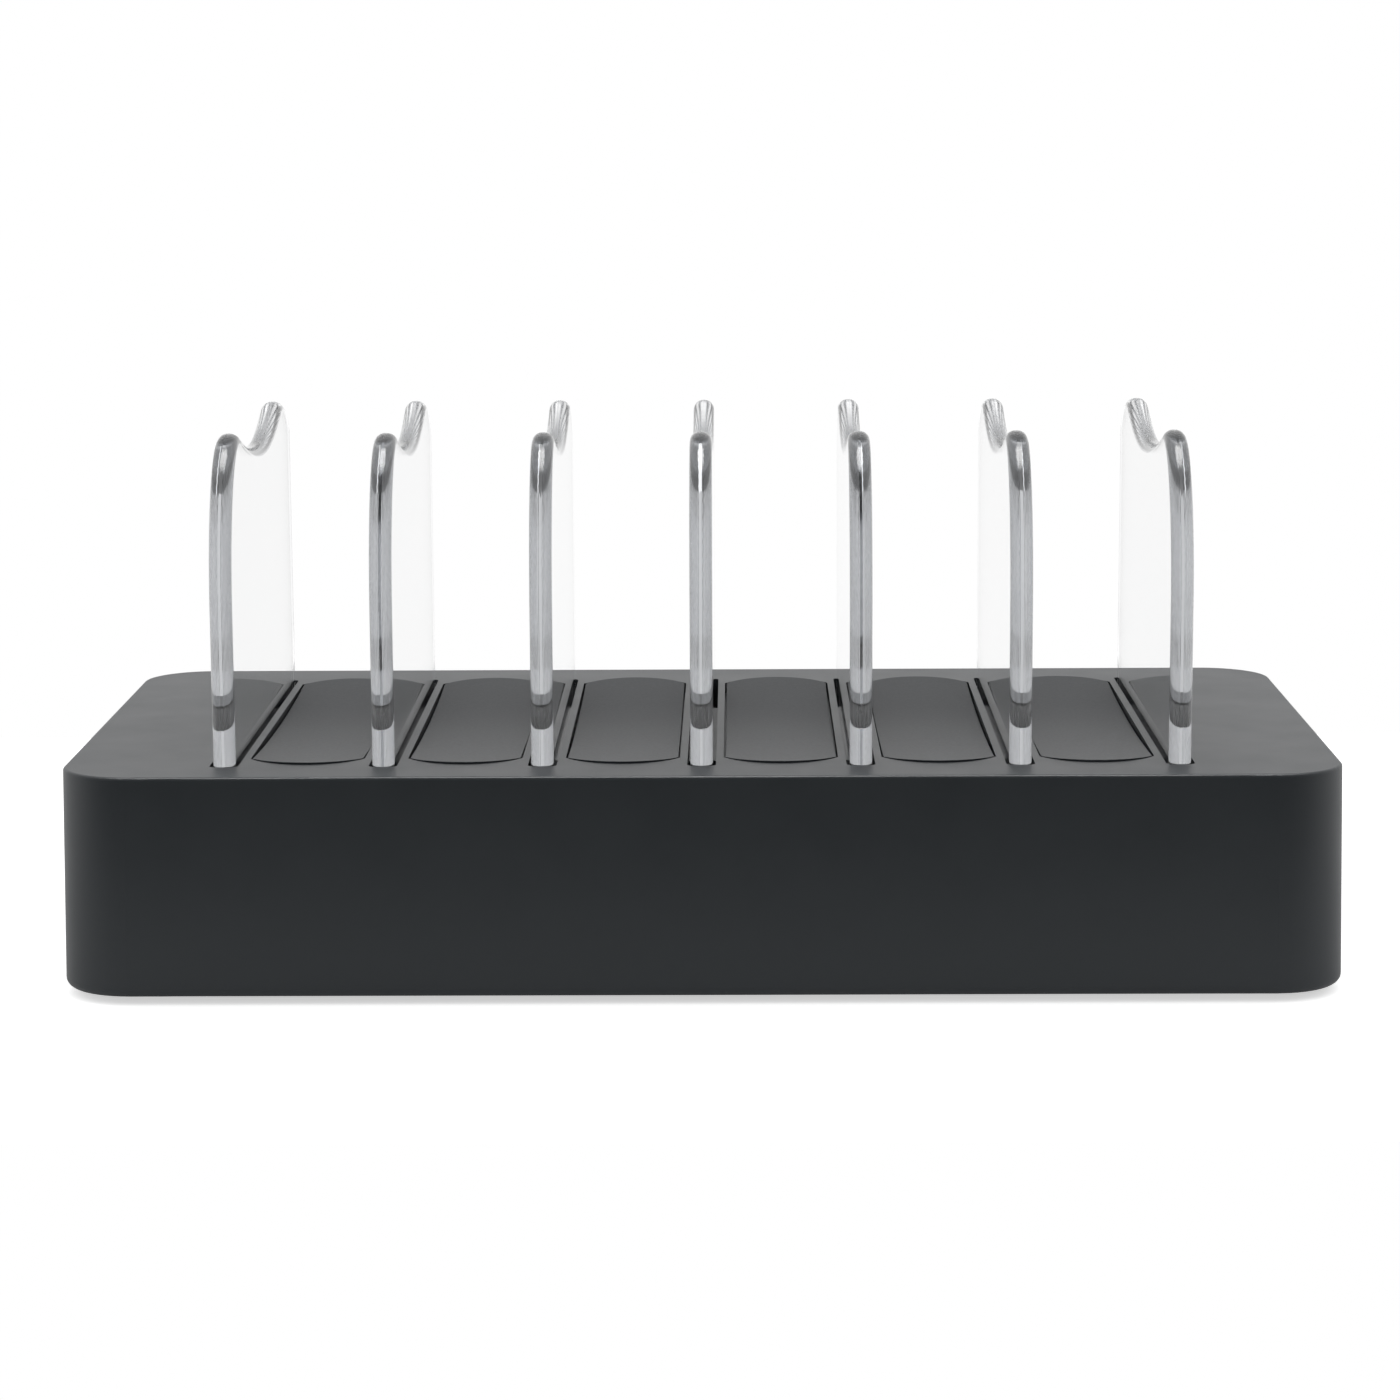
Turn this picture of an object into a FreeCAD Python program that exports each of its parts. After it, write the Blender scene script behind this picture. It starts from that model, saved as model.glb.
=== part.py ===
# Charging station organizer: a low moulded base with a mains charger inside, soft pads on its top and
# clear dividers that stand in slots between the pads and lift out.
#
# Millimetres. +X runs along the row of dividers, +Y points to the back, where the sockets are, +Z is up.
# The origin lies under the middle of the base, on the surface that the feet stand on.
import FreeCAD, Part
import math
import os

from FreeCAD import Vector

# Base housing
BASE_WIDTH = 170.0
BASE_DEPTH = 90.0
SHELL_HEIGHT = 29.4
CORNER_RADIUS = 9.5
WALL_DRAFT_DEG = 0.75
WALL = 2.4
TOP_THICKNESS = 2.6
TOP_EDGE_RADIUS = 0.45
LOWER_EDGE_RADIUS = 1.2

# Bottom cover, which lies inside the walls, flush with their lower edge
COVER_THICKNESS = 2.4
COVER_GAP = 0.2
COVER_LIP_HEIGHT = 3.0
COVER_LIP_THICKNESS = 1.4

# Rubber feet, glued into round recesses of the cover
FOOT_DIAMETER = 11.0
FOOT_STAND = 1.0
FOOT_SINK = 0.8
FOOT_GAP = 0.15
FOOT_EDGE_RADIUS = 0.4
FOOT_INSET_X = 24.0
FOOT_INSET_Y = 15.0

# Dividers: a long sweep up to the front horn, a dip, and a back horn with a tight corner
DIVIDER_COUNT = 7
END_MARGIN = 21.8
DIVIDER_THICKNESS = 3.0
DIVIDER_FRONT_SETBACK = 8.3
DIVIDER_BACK_SETBACK = 10.3
DIVIDER_RISE = 42.85
DIVIDER_EDGE_RADIUS = 1.35
FRONT_HORN_INSET = 13.2
FRONT_SHOULDER_RISE = 22.0
BACK_HORN_INSET = 10.0
BACK_SHOULDER_RISE = 6.0
HORN_INNER_RADIUS = 5.0
DIP_DEPTH = 4.1
DIP_OFFSET = 4.0

# Slots: a shallow groove along the whole divider, and a deeper pocket for the tab at each of its ends
GROOVE_DEPTH = 2.0
GROOVE_GAP = 0.2
TAB_DEPTH = 7.0
TAB_LENGTH = 14.0
SLOT_SIDE_GAP = 0.4
SLOT_END_GAP = 0.5
SLOT_CORNER_RADIUS = 0.9
POCKET_WALL = 1.3

# Pads, each in a shallow recess between two slots, with arched ends and a top that is dished along its length
PAD_STRIP = 1.0
PAD_SETBACK = 9.8
PAD_END_RADIUS = 8.5
PAD_PROUD = 0.25
PAD_SINK = 1.5
PAD_DISH = 1.0
PAD_GAP = 0.25

# Screws and the bosses that take them
BOSS_DIAMETER = 7.0
BOSS_INSET = 9.5
SCREW_SHANK = 2.6
SCREW_HEAD = 5.4
SCREW_HEAD_HEIGHT = 1.6
CASE_SCREW_LENGTH = 11.0
BOARD_SCREW_LENGTH = 8.0
SCREW_FIT_GAP = 0.05
SCREW_HOLE_GAP = 0.3
PILOT_SPARE = 1.5

# Circuit board
BOARD_THICKNESS = 1.6
BOARD_STANDOFF = 4.5
BOARD_BACK_GAP = 0.6
BOARD_FRONT_GAP = 12.0
BOARD_SIDE_GAP = 13.0
BOARD_HOLE_INSET = 7.0
BOARD_CORNER_RADIUS = 2.0

# Charging sockets in the back wall, with the usual sizes of a type A receptacle
PORT_WIDTH = 13.1
PORT_HEIGHT = 5.7
PORT_LENGTH = 14.0
PORT_SHEET = 0.3
PORT_EDGE_RADIUS = 0.6
PORT_RECESS = 0.3
PORT_GAP = 0.35
TONGUE_WIDTH = 11.1
TONGUE_THICKNESS = 1.84
TONGUE_LENGTH = 8.9
TONGUE_TOP_GAP = 0.65
TONGUE_FIT_GAP = 0.05
CONTACT_OFFSETS = (-3.5, -1.0, 1.0, 3.5)
CONTACT_WIDTH = 1.0
CONTACT_THICKNESS = 0.2
CONTACT_LENGTH = 7.0

# Two-pole mains inlet in the right wall, with the usual sizes of a figure-eight socket
INLET_OFFSET = 14.0
INLET_WIDTH = 20.0
INLET_HEIGHT = 11.0
INLET_LENGTH = 17.0
INLET_EDGE_RADIUS = 1.0
INLET_RECESS = 0.3
INLET_GAP = 0.3
SOCKET_DEPTH = 12.0
SOCKET_LOBE_RADIUS = 4.15
SOCKET_WAIST = 5.6
PIN_SPACING = 8.6
PIN_DIAMETER = 2.4
PIN_LENGTH = 9.5
INLET_TAB_MARGIN = 0.5

# Parts on the board
CORE_WIDTH = 20.0
CORE_LENGTH = 20.0
CORE_HEIGHT = 6.0
CORE_LEG = 3.0
CORE_CENTRE_LEG = 5.0
CORE_YOKE = 3.0
CORE_CLEARANCE = 1.5
WINDING_GAP = 0.15
WINDING_OVERHANG = 1.4
TRANSFORMER_Y = -8.0
BULK_DIAMETER = 11.0
BULK_LENGTH = 20.0
BULK_Y = -8.0
CAN_CRIMP = 0.5
OUTPUT_DIAMETER = 8.0
OUTPUT_HEIGHT = 11.0
OUTPUT_Y = -6.0
CHOKE_DIAMETER = 13.0
CHOKE_BORE = 6.0
CHOKE_HEIGHT = 7.0
CHOKE_Y = -3.0
SINK_LENGTH = 12.0
SINK_HEIGHT = 10.0
SINK_THICKNESS = 2.0
SINK_FINS = 4
SINK_FIN_DEPTH = 3.0
SINK_FIN_THICKNESS = 1.2
SINK_Y = 14.0
CHIP_WIDTH = 5.0
CHIP_LENGTH = 4.0
CHIP_HEIGHT = 1.5
CHIP_PORT_GAP = 2.5
BOSS_CHIP_GAP = 1.0

# Levels and places worked out from the sizes above
TOP = FOOT_STAND + SHELL_HEIGHT
CEILING = TOP - TOP_THICKNESS
COVER_TOP = FOOT_STAND + COVER_THICKNESS
BOARD_LOW = COVER_TOP + BOARD_STANDOFF
BOARD_TOP = BOARD_LOW + BOARD_THICKNESS
GROOVE_FLOOR = TOP - GROOVE_DEPTH
TAB_FLOOR = TOP - TAB_DEPTH
BELLY = GROOVE_FLOOR + GROOVE_GAP
CASE_SCREW_TIP = FOOT_STAND + CASE_SCREW_LENGTH
BOARD_SCREW_TIP = BOARD_LOW + BOARD_SCREW_LENGTH
DRAFT = math.tan(math.radians(WALL_DRAFT_DEG))

PITCH = (BASE_WIDTH - 2 * END_MARGIN) / (DIVIDER_COUNT - 1)
DIVIDER_XS = [(i - (DIVIDER_COUNT - 1) / 2) * PITCH for i in range(DIVIDER_COUNT)]
BAY_XS = [(left + right) / 2 for left, right in zip(DIVIDER_XS, DIVIDER_XS[1:])]
DIVIDER_FRONT = DIVIDER_FRONT_SETBACK - BASE_DEPTH / 2
DIVIDER_BACK = BASE_DEPTH / 2 - DIVIDER_BACK_SETBACK
SLOT_WIDTH = DIVIDER_THICKNESS + 2 * SLOT_SIDE_GAP
SLOT_LENGTH = DIVIDER_BACK - DIVIDER_FRONT + 2 * SLOT_END_GAP
SLOT_MIDDLE = (DIVIDER_FRONT + DIVIDER_BACK) / 2
TAB_POCKET_LENGTH = TAB_LENGTH + 2 * SLOT_END_GAP
TAB_MIDDLES = (DIVIDER_FRONT + TAB_LENGTH / 2, DIVIDER_BACK - TAB_LENGTH / 2)
PAD_WIDTH = PITCH - SLOT_WIDTH - 2 * (PAD_STRIP + PAD_GAP)
PAD_LENGTH = BASE_DEPTH - 2 * PAD_SETBACK

BOARD_BACK = BASE_DEPTH / 2 - WALL - BOARD_BACK_GAP
BOARD_FRONT = WALL + BOARD_FRONT_GAP - BASE_DEPTH / 2
BOARD_HALF_WIDTH = BASE_WIDTH / 2 - WALL - BOARD_SIDE_GAP
PORT_MOUTH = BASE_DEPTH / 2 - (BOARD_TOP + PORT_HEIGHT - FOOT_STAND) * DRAFT - PORT_RECESS
PORT_BACK = PORT_MOUTH - PORT_LENGTH
CHIP_FRONT = PORT_BACK - CHIP_PORT_GAP - CHIP_LENGTH
INLET_MOUTH = BASE_WIDTH / 2 - (BOARD_TOP + INLET_HEIGHT - FOOT_STAND) * DRAFT - INLET_RECESS
INLET_MIDDLE = BOARD_TOP + INLET_HEIGHT / 2
SOCKET_FLOOR = INLET_MOUTH - SOCKET_DEPTH

CORNER_SIGNS = [(-1, -1), (-1, 1), (1, -1), (1, 1)]
CASE_SCREW_PLACES = [
    (sx * (BASE_WIDTH / 2 - BOSS_INSET), sy * (BASE_DEPTH / 2 - BOSS_INSET)) for sx, sy in CORNER_SIGNS
]
BOARD_SCREW_PLACES = [
    (x, y)
    for x in (BAY_XS[0], BAY_XS[-1])
    for y in (BOARD_FRONT + BOARD_HOLE_INSET, CHIP_FRONT - BOSS_CHIP_GAP - BOSS_DIAMETER / 2)
]
FOOT_PLACES = [
    (sx * (BASE_WIDTH / 2 - FOOT_INSET_X), sy * (BASE_DEPTH / 2 - FOOT_INSET_Y)) for sx, sy in CORNER_SIGNS
]

UP = Vector(0, 0, 1)
NEAR = 1e-4
# The largest share of a wall, plate or step that a rounded edge may take
ROUNDING_SHARE = 0.45


def block(width, depth, low, high, x=0.0, y=0.0):
    """Upright box centred on (x, y), from one level to another."""
    return Part.makeBox(width, depth, high - low, Vector(x - width / 2, y - depth / 2, low))


def rod(diameter, low, high, x=0.0, y=0.0):
    """Upright cylinder from one level to another."""
    return Part.makeCylinder(diameter / 2, high - low, Vector(x, y, low), UP)


def edges_along(shape, direction):
    """Straight edges of a shape that run along one direction."""
    chosen = []
    for edge in shape.Edges:
        if isinstance(edge.Curve, Part.Line):
            run = edge.Vertexes[-1].Point.sub(edge.Vertexes[0].Point)
            if run.cross(direction).Length < NEAR:
                chosen.append(edge)
    return chosen


def edges_at_level(shape, level):
    """Edges of a shape that lie in one horizontal plane."""
    chosen = []
    for edge in shape.Edges:
        if all(abs(vertex.Z - level) < NEAR for vertex in edge.Vertexes):
            chosen.append(edge)
    return chosen


def rounded_block(width, depth, radius, low, high, x=0.0, y=0.0):
    """Upright box with rounded upright corners."""
    box = block(width, depth, low, high, x, y)
    limit = ROUNDING_SHARE * min(width, depth)
    return box.makeFillet(min(radius, limit), edges_along(box, UP))


def rounded_outline(width, depth, radius, level):
    """Closed wire of a rectangle with round corners, at one level."""
    reach_x = width / 2 - radius
    reach_y = depth / 2 - radius
    corners = [(reach_x, reach_y), (-reach_x, reach_y), (-reach_x, -reach_y), (reach_x, -reach_y)]
    arcs = []
    for quarter, (x, y) in enumerate(corners):
        circle = Part.Circle(Vector(x, y, level), UP, radius)
        start = quarter * math.pi / 2
        arcs.append(Part.ArcOfCircle(circle, start, start + math.pi / 2))
    edges = []
    for arc, following in zip(arcs, arcs[1:] + arcs[:1]):
        edges.append(arc.toShape())
        edges.append(Part.LineSegment(arc.EndPoint, following.StartPoint).toShape())
    return Part.Wire(edges)


def drafted_block(inset, low, high):
    """Block that follows the base's drafted walls, inset from their outer faces."""
    wires = []
    for level in (low, high):
        narrowing = 2 * (inset + (level - FOOT_STAND) * DRAFT)
        radius = CORNER_RADIUS - inset
        wires.append(rounded_outline(BASE_WIDTH - narrowing, BASE_DEPTH - narrowing, radius, level))
    return Part.makeLoft(wires, True, True)


def turned(profile, x, y):
    """Solid turned about an upright line from a closed list of (radius, level) points."""
    points = [Vector(x + radius, y, level) for radius, level in profile]
    face = Part.Face(Part.makePolygon(points + points[:1]))
    return face.revolve(Vector(x, y, 0), UP, 360)


def joined(shape, others):
    """One solid from shapes that touch or overlap."""
    return shape.fuse(others).removeSplitter()


def side_arc(y, z, radius, start, end):
    """Arc in the plane X = 0 about (y, z), between two angles measured from +Y towards +Z."""
    angles = (start, (start + end) / 2, end)
    points = [Vector(0, y + radius * math.cos(a), z + radius * math.sin(a)) for a in angles]
    return Part.Arc(*points).toShape()


def divider_side(side, end_y, horn_inset, shoulder_rise):
    """Edges of a divider's outline from the dip to the tab at one end; side is -1 at the front."""
    tip_y = end_y - side * horn_inset
    tip_z = TOP + DIVIDER_RISE
    shoulder_z = tip_z - shoulder_rise
    dip_y = SLOT_MIDDLE + DIP_OFFSET
    reach = abs(tip_y - dip_y)
    radii_sum = (reach ** 2 + DIP_DEPTH ** 2) / (2 * DIP_DEPTH)
    dip_radius = radii_sum - HORN_INNER_RADIUS
    lean = side * math.asin(reach / radii_sum)
    dip_centre = tip_z - DIP_DEPTH + dip_radius
    upward = math.pi / 2

    shoulder = Part.BezierCurve()
    shoulder.setPoles([Vector(0, end_y, shoulder_z), Vector(0, end_y, tip_z), Vector(0, tip_y, tip_z)])
    shoulder.setWeight(2, math.sqrt(0.5))
    foot = [(end_y, shoulder_z), (end_y, TAB_FLOOR), (end_y - side * TAB_LENGTH, TAB_FLOOR),
            (end_y - side * TAB_LENGTH, BELLY)]
    corners = [Vector(0, y, z) for y, z in foot]
    lines = [Part.LineSegment(start, end).toShape() for start, end in zip(corners, corners[1:])]
    return lines + [
        shoulder.toShape(),
        side_arc(tip_y, tip_z - HORN_INNER_RADIUS, HORN_INNER_RADIUS, upward, upward + lean),
        side_arc(dip_y, dip_centre, dip_radius, -upward, lean - upward),
    ]


def divider_outline():
    """Side outline of a divider, in the plane X = 0: two horns with a dip between them, two tabs below."""
    front = divider_side(-1, DIVIDER_FRONT, FRONT_HORN_INSET, FRONT_SHOULDER_RISE)
    back = divider_side(1, DIVIDER_BACK, BACK_HORN_INSET, BACK_SHOULDER_RISE)
    belly_front = Vector(0, DIVIDER_FRONT + TAB_LENGTH, BELLY)
    belly_back = Vector(0, DIVIDER_BACK - TAB_LENGTH, BELLY)
    belly = Part.LineSegment(belly_front, belly_back).toShape()
    return Part.Wire(Part.__sortEdges__(front + back + [belly]))


def divider(x):
    """Clear plate with softened edges; its tabs stand on the floors of their pockets."""
    face = Part.Face(divider_outline())
    face.translate(Vector(x - DIVIDER_THICKNESS / 2, 0, 0))
    plate = face.extrude(Vector(DIVIDER_THICKNESS, 0, 0))
    rims = []
    for edge in plate.Edges:
        box = edge.BoundBox
        on_a_side_face = box.XLength < NEAR
        if on_a_side_face and box.ZMax > BELLY + NEAR:
            rims.append(edge)
    return plate.makeFillet(min(DIVIDER_EDGE_RADIUS, ROUNDING_SHARE * DIVIDER_THICKNESS), rims)


def arched_block(growth, low, high, x):
    """Upright block with a pad's plan, two straight sides and two arched ends, grown all round by a gap."""
    half_width = PAD_WIDTH / 2 + growth
    half_length = PAD_LENGTH / 2 + growth
    radius = max(PAD_END_RADIUS, PAD_WIDTH / 2) + growth
    corner_y = half_length - radius + math.sqrt(radius ** 2 - half_width ** 2)
    left, right = x - half_width, x + half_width
    back_left, back_right = Vector(left, corner_y, low), Vector(right, corner_y, low)
    front_left, front_right = Vector(left, -corner_y, low), Vector(right, -corner_y, low)
    edges = [
        Part.Arc(front_left, Vector(x, -half_length, low), front_right).toShape(),
        Part.LineSegment(front_right, back_right).toShape(),
        Part.Arc(back_right, Vector(x, half_length, low), back_left).toShape(),
        Part.LineSegment(back_left, front_left).toShape(),
    ]
    return Part.Face(Part.Wire(edges)).extrude(Vector(0, 0, high - low))


def pad(x):
    """Soft pad that lies on the floor of its recess; its ends stand a little proud of the top."""
    end_level = TOP + PAD_PROUD
    body = arched_block(0.0, TOP - PAD_SINK, end_level + PAD_DISH, x)
    dish_radius = ((PAD_LENGTH / 2) ** 2 + PAD_DISH ** 2) / (2 * PAD_DISH)
    dish_start = Vector(x - PAD_WIDTH, 0, end_level - PAD_DISH + dish_radius)
    return body.cut(Part.makeCylinder(dish_radius, 2 * PAD_WIDTH, dish_start, Vector(1, 0, 0)))


def top_shell():
    """Moulded housing: drafted walls and top, slot pockets, pad recesses, screw bosses and socket holes."""
    outer = drafted_block(0.0, FOOT_STAND, TOP)
    outer = outer.makeFillet(TOP_EDGE_RADIUS, edges_at_level(outer, TOP))
    # Only the outer edge of the wall is rounded, so it may take twice the share of a plate's two edges
    lower_rounding = min(LOWER_EDGE_RADIUS, 2 * ROUNDING_SHARE * WALL)
    outer = outer.makeFillet(lower_rounding, edges_at_level(outer, FOOT_STAND))
    shell = outer.cut(drafted_block(WALL, FOOT_STAND, CEILING))

    added = []
    rib_width = SLOT_WIDTH + 2 * POCKET_WALL
    rib_length = SLOT_LENGTH + 2 * POCKET_WALL
    pocket_length = TAB_POCKET_LENGTH + 2 * POCKET_WALL
    for x in DIVIDER_XS:
        added.append(block(rib_width, rib_length, GROOVE_FLOOR - POCKET_WALL, GROOVE_FLOOR, x, SLOT_MIDDLE))
        for y in TAB_MIDDLES:
            added.append(block(rib_width, pocket_length, TAB_FLOOR - POCKET_WALL, CEILING, x, y))
    for x, y in CASE_SCREW_PLACES:
        added.append(rod(BOSS_DIAMETER, COVER_TOP, CEILING, x, y))
    for x, y in BOARD_SCREW_PLACES:
        added.append(rod(BOSS_DIAMETER, BOARD_TOP, CEILING, x, y))
    shell = joined(shell, added)

    removed = []
    for x in DIVIDER_XS:
        openings = [(SLOT_LENGTH, GROOVE_FLOOR, SLOT_MIDDLE)]
        openings += [(TAB_POCKET_LENGTH, TAB_FLOOR, y) for y in TAB_MIDDLES]
        for length, floor, y in openings:
            removed.append(rounded_block(SLOT_WIDTH, length, SLOT_CORNER_RADIUS, floor, TOP, x, y))
    for x in BAY_XS:
        removed.append(arched_block(PAD_GAP, TOP - PAD_SINK, TOP, x))
    pilot = SCREW_SHANK + 2 * SCREW_FIT_GAP
    for x, y in CASE_SCREW_PLACES:
        removed.append(rod(pilot, COVER_TOP, CASE_SCREW_TIP + PILOT_SPARE, x, y))
    for x, y in BOARD_SCREW_PLACES:
        removed.append(rod(pilot, BOARD_TOP, BOARD_SCREW_TIP + PILOT_SPARE, x, y))
    wall_reach = 2 * WALL
    for x in BAY_XS:
        hole = block(PORT_WIDTH + 2 * PORT_GAP, 2 * wall_reach, BOARD_TOP - PORT_GAP,
                     BOARD_TOP + PORT_HEIGHT + PORT_GAP, x, BASE_DEPTH / 2)
        removed.append(hole.makeFillet(PORT_EDGE_RADIUS + PORT_GAP, edges_along(hole, Vector(0, 1, 0))))
    hole = block(2 * wall_reach, INLET_WIDTH + 2 * INLET_GAP, BOARD_TOP - INLET_GAP,
                 BOARD_TOP + INLET_HEIGHT + INLET_GAP, BASE_WIDTH / 2, INLET_OFFSET)
    removed.append(hole.makeFillet(INLET_EDGE_RADIUS + INLET_GAP, edges_along(hole, Vector(1, 0, 0))))
    return shell.cut(removed)


def case_screw(x, y, growth=0.0):
    """Countersunk screw, head down; growth widens it all round for the hole that it passes through."""
    head = SCREW_HEAD / 2 + growth
    shank = SCREW_SHANK / 2 + growth
    low = FOOT_STAND
    tip = CASE_SCREW_TIP
    profile = [(0, low), (head, low), (shank, low + SCREW_HEAD_HEIGHT), (shank, tip - shank), (0, tip)]
    return turned(profile, x, y)


def board_screw(x, y):
    """Pan-head screw that comes up through the board into its boss."""
    head = SCREW_HEAD / 2
    shank = SCREW_SHANK / 2
    low = BOARD_LOW - SCREW_HEAD_HEIGHT
    tip = BOARD_SCREW_TIP
    softening = SCREW_HEAD_HEIGHT / 3
    profile = [
        (0, low), (head - softening, low), (head, low + softening), (head, BOARD_LOW), (shank, BOARD_LOW),
        (shank, tip - shank), (0, tip),
    ]
    return turned(profile, x, y)


def bottom_cover():
    """Plate that closes the base, with a stiffening lip, foot recesses and countersunk screw holes."""
    plate = drafted_block(WALL + COVER_GAP, FOOT_STAND, COVER_TOP)
    lip_top = COVER_TOP + COVER_LIP_HEIGHT
    lip = drafted_block(WALL + COVER_GAP, COVER_TOP, lip_top)
    lip = lip.cut(drafted_block(WALL + COVER_GAP + COVER_LIP_THICKNESS, COVER_TOP, lip_top))
    cover = joined(plate, [lip])
    recess = FOOT_DIAMETER + 2 * FOOT_GAP
    removed = [rod(recess, FOOT_STAND, FOOT_STAND + FOOT_SINK, x, y) for x, y in FOOT_PLACES]
    removed += [case_screw(x, y, SCREW_FIT_GAP) for x, y in CASE_SCREW_PLACES]
    return cover.cut(removed)


def foot(x, y):
    """Rubber foot with a softened lower edge."""
    body = rod(FOOT_DIAMETER, 0.0, FOOT_STAND + FOOT_SINK, x, y)
    return body.makeFillet(min(FOOT_EDGE_RADIUS, ROUNDING_SHARE * FOOT_STAND), edges_at_level(body, 0.0))


def main_board():
    """Circuit board under all the sockets, with a tab that carries the mains inlet."""
    depth = BOARD_BACK - BOARD_FRONT
    middle = (BOARD_BACK + BOARD_FRONT) / 2
    width = 2 * BOARD_HALF_WIDTH
    board = rounded_block(width, depth, BOARD_CORNER_RADIUS, BOARD_LOW, BOARD_TOP, 0.0, middle)
    tab_end = BASE_WIDTH / 2 - WALL - BOARD_BACK_GAP
    tab_middle = tab_end / 2
    tab_width = INLET_WIDTH + 2 * INLET_TAB_MARGIN
    tab = block(tab_end, tab_width, BOARD_LOW, BOARD_TOP, tab_middle, INLET_OFFSET)
    board = joined(board, [tab])
    hole = SCREW_SHANK + 2 * SCREW_HOLE_GAP
    return board.cut([rod(hole, BOARD_LOW, BOARD_TOP, x, y) for x, y in BOARD_SCREW_PLACES])


def port_tube(x, inset):
    """Block of a socket's section, inset from its outer faces, over the socket's whole length."""
    body = block(PORT_WIDTH - 2 * inset, PORT_LENGTH, BOARD_TOP + inset, BOARD_TOP + PORT_HEIGHT - inset,
                 x, PORT_MOUTH - PORT_LENGTH / 2)
    radius = max(PORT_EDGE_RADIUS - inset, PORT_EDGE_RADIUS / 4)
    return body.makeFillet(radius, edges_along(body, Vector(0, 1, 0)))


def usb_shell(x):
    """Folded metal shell of a socket, open at its mouth."""
    return port_tube(x, 0.0).cut(port_tube(x, PORT_SHEET))


def tongue_under_side():
    """Level of the face of a tongue that carries the contacts."""
    return BOARD_TOP + PORT_HEIGHT - PORT_SHEET - TONGUE_TOP_GAP - TONGUE_THICKNESS


def tongue_tip():
    """Place of the free end of a tongue along Y."""
    return PORT_BACK + back_block_length() + TONGUE_LENGTH


def back_block_length():
    """Length of the moulded block that fills the back of a socket."""
    return PORT_LENGTH - TONGUE_LENGTH - 2 * PORT_RECESS


def usb_tongue(x):
    """Moulded insulator: a block at the back of the socket and the tongue that stands out of it."""
    length = back_block_length()
    filling = port_tube(x, PORT_SHEET + TONGUE_FIT_GAP)
    keep = block(PORT_WIDTH, length, BOARD_TOP, BOARD_TOP + PORT_HEIGHT, x, PORT_BACK + length / 2)
    low = tongue_under_side()
    blade_middle = tongue_tip() - TONGUE_LENGTH / 2
    blade = block(TONGUE_WIDTH, TONGUE_LENGTH, low, low + TONGUE_THICKNESS, x, blade_middle)
    return joined(filling.common(keep), [blade])


def usb_contacts():
    """Contact strips under every tongue."""
    high = tongue_under_side()
    middle = tongue_tip() - TONGUE_LENGTH + CONTACT_LENGTH / 2
    return [
        block(CONTACT_WIDTH, CONTACT_LENGTH, high - CONTACT_THICKNESS, high, x + offset, middle)
        for x in BAY_XS
        for offset in CONTACT_OFFSETS
    ]


def socket_cavity():
    """Figure-eight hollow of the mains inlet."""
    along = Vector(1, 0, 0)
    lobes = []
    for side in (-1, 1):
        start = Vector(SOCKET_FLOOR, INLET_OFFSET + side * PIN_SPACING / 2, INLET_MIDDLE)
        lobes.append(Part.makeCylinder(SOCKET_LOBE_RADIUS, SOCKET_DEPTH, start, along))
    waist_low = INLET_MIDDLE - SOCKET_WAIST / 2
    waist_middle = SOCKET_FLOOR + SOCKET_DEPTH / 2
    waist_high = waist_low + SOCKET_WAIST
    waist = block(SOCKET_DEPTH, PIN_SPACING, waist_low, waist_high, waist_middle, INLET_OFFSET)
    return joined(waist, lobes)


def power_inlet():
    """Moulded body of the mains inlet, standing on the board behind its hole in the wall."""
    body = block(INLET_LENGTH, INLET_WIDTH, BOARD_TOP, BOARD_TOP + INLET_HEIGHT,
                 INLET_MOUTH - INLET_LENGTH / 2, INLET_OFFSET)
    body = body.makeFillet(INLET_EDGE_RADIUS, edges_along(body, Vector(1, 0, 0)))
    return body.cut(socket_cavity())


def inlet_pins():
    """The two round pins that stand on the floor of the inlet's hollow."""
    pins = []
    for side in (-1, 1):
        start = Vector(SOCKET_FLOOR, INLET_OFFSET + side * PIN_SPACING / 2, INLET_MIDDLE)
        pin = Part.makeCylinder(PIN_DIAMETER / 2, PIN_LENGTH, start, Vector(1, 0, 0))
        tip = [e for e in pin.Edges if abs(e.BoundBox.XMin - SOCKET_FLOOR - PIN_LENGTH) < NEAR]
        pins.append(pin.makeFillet(PIN_DIAMETER / 4, tip))
    return pins


def transformer_core():
    """Flat ferrite core: a frame with a centre leg."""
    low = BOARD_TOP + CORE_CLEARANCE
    high = low + CORE_HEIGHT
    core = block(CORE_WIDTH, CORE_LENGTH, low, high, 0.0, TRANSFORMER_Y)
    window = (CORE_WIDTH - 2 * CORE_LEG - CORE_CENTRE_LEG) / 2
    for side in (-1, 1):
        x = side * (CORE_CENTRE_LEG + window) / 2
        core = core.cut(block(window, CORE_LENGTH - 2 * CORE_YOKE, low, high, x, TRANSFORMER_Y))
    return core


def transformer_winding():
    """Taped winding on its former, round the core's centre leg and standing on the board."""
    length = CORE_LENGTH - 2 * CORE_YOKE - 2 * WINDING_GAP
    width = CORE_WIDTH - 2 * CORE_LEG - 2 * WINDING_GAP
    high = BOARD_TOP + CORE_CLEARANCE + CORE_HEIGHT + WINDING_OVERHANG
    body = rounded_block(width, length, WINDING_OVERHANG, BOARD_TOP, high, 0.0, TRANSFORMER_Y)
    hollow = block(CORE_CENTRE_LEG + 2 * WINDING_GAP, CORE_LENGTH, BOARD_TOP + CORE_CLEARANCE - WINDING_GAP,
                   BOARD_TOP + CORE_CLEARANCE + CORE_HEIGHT + WINDING_GAP, 0.0, TRANSFORMER_Y)
    return body.cut(hollow)


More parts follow.
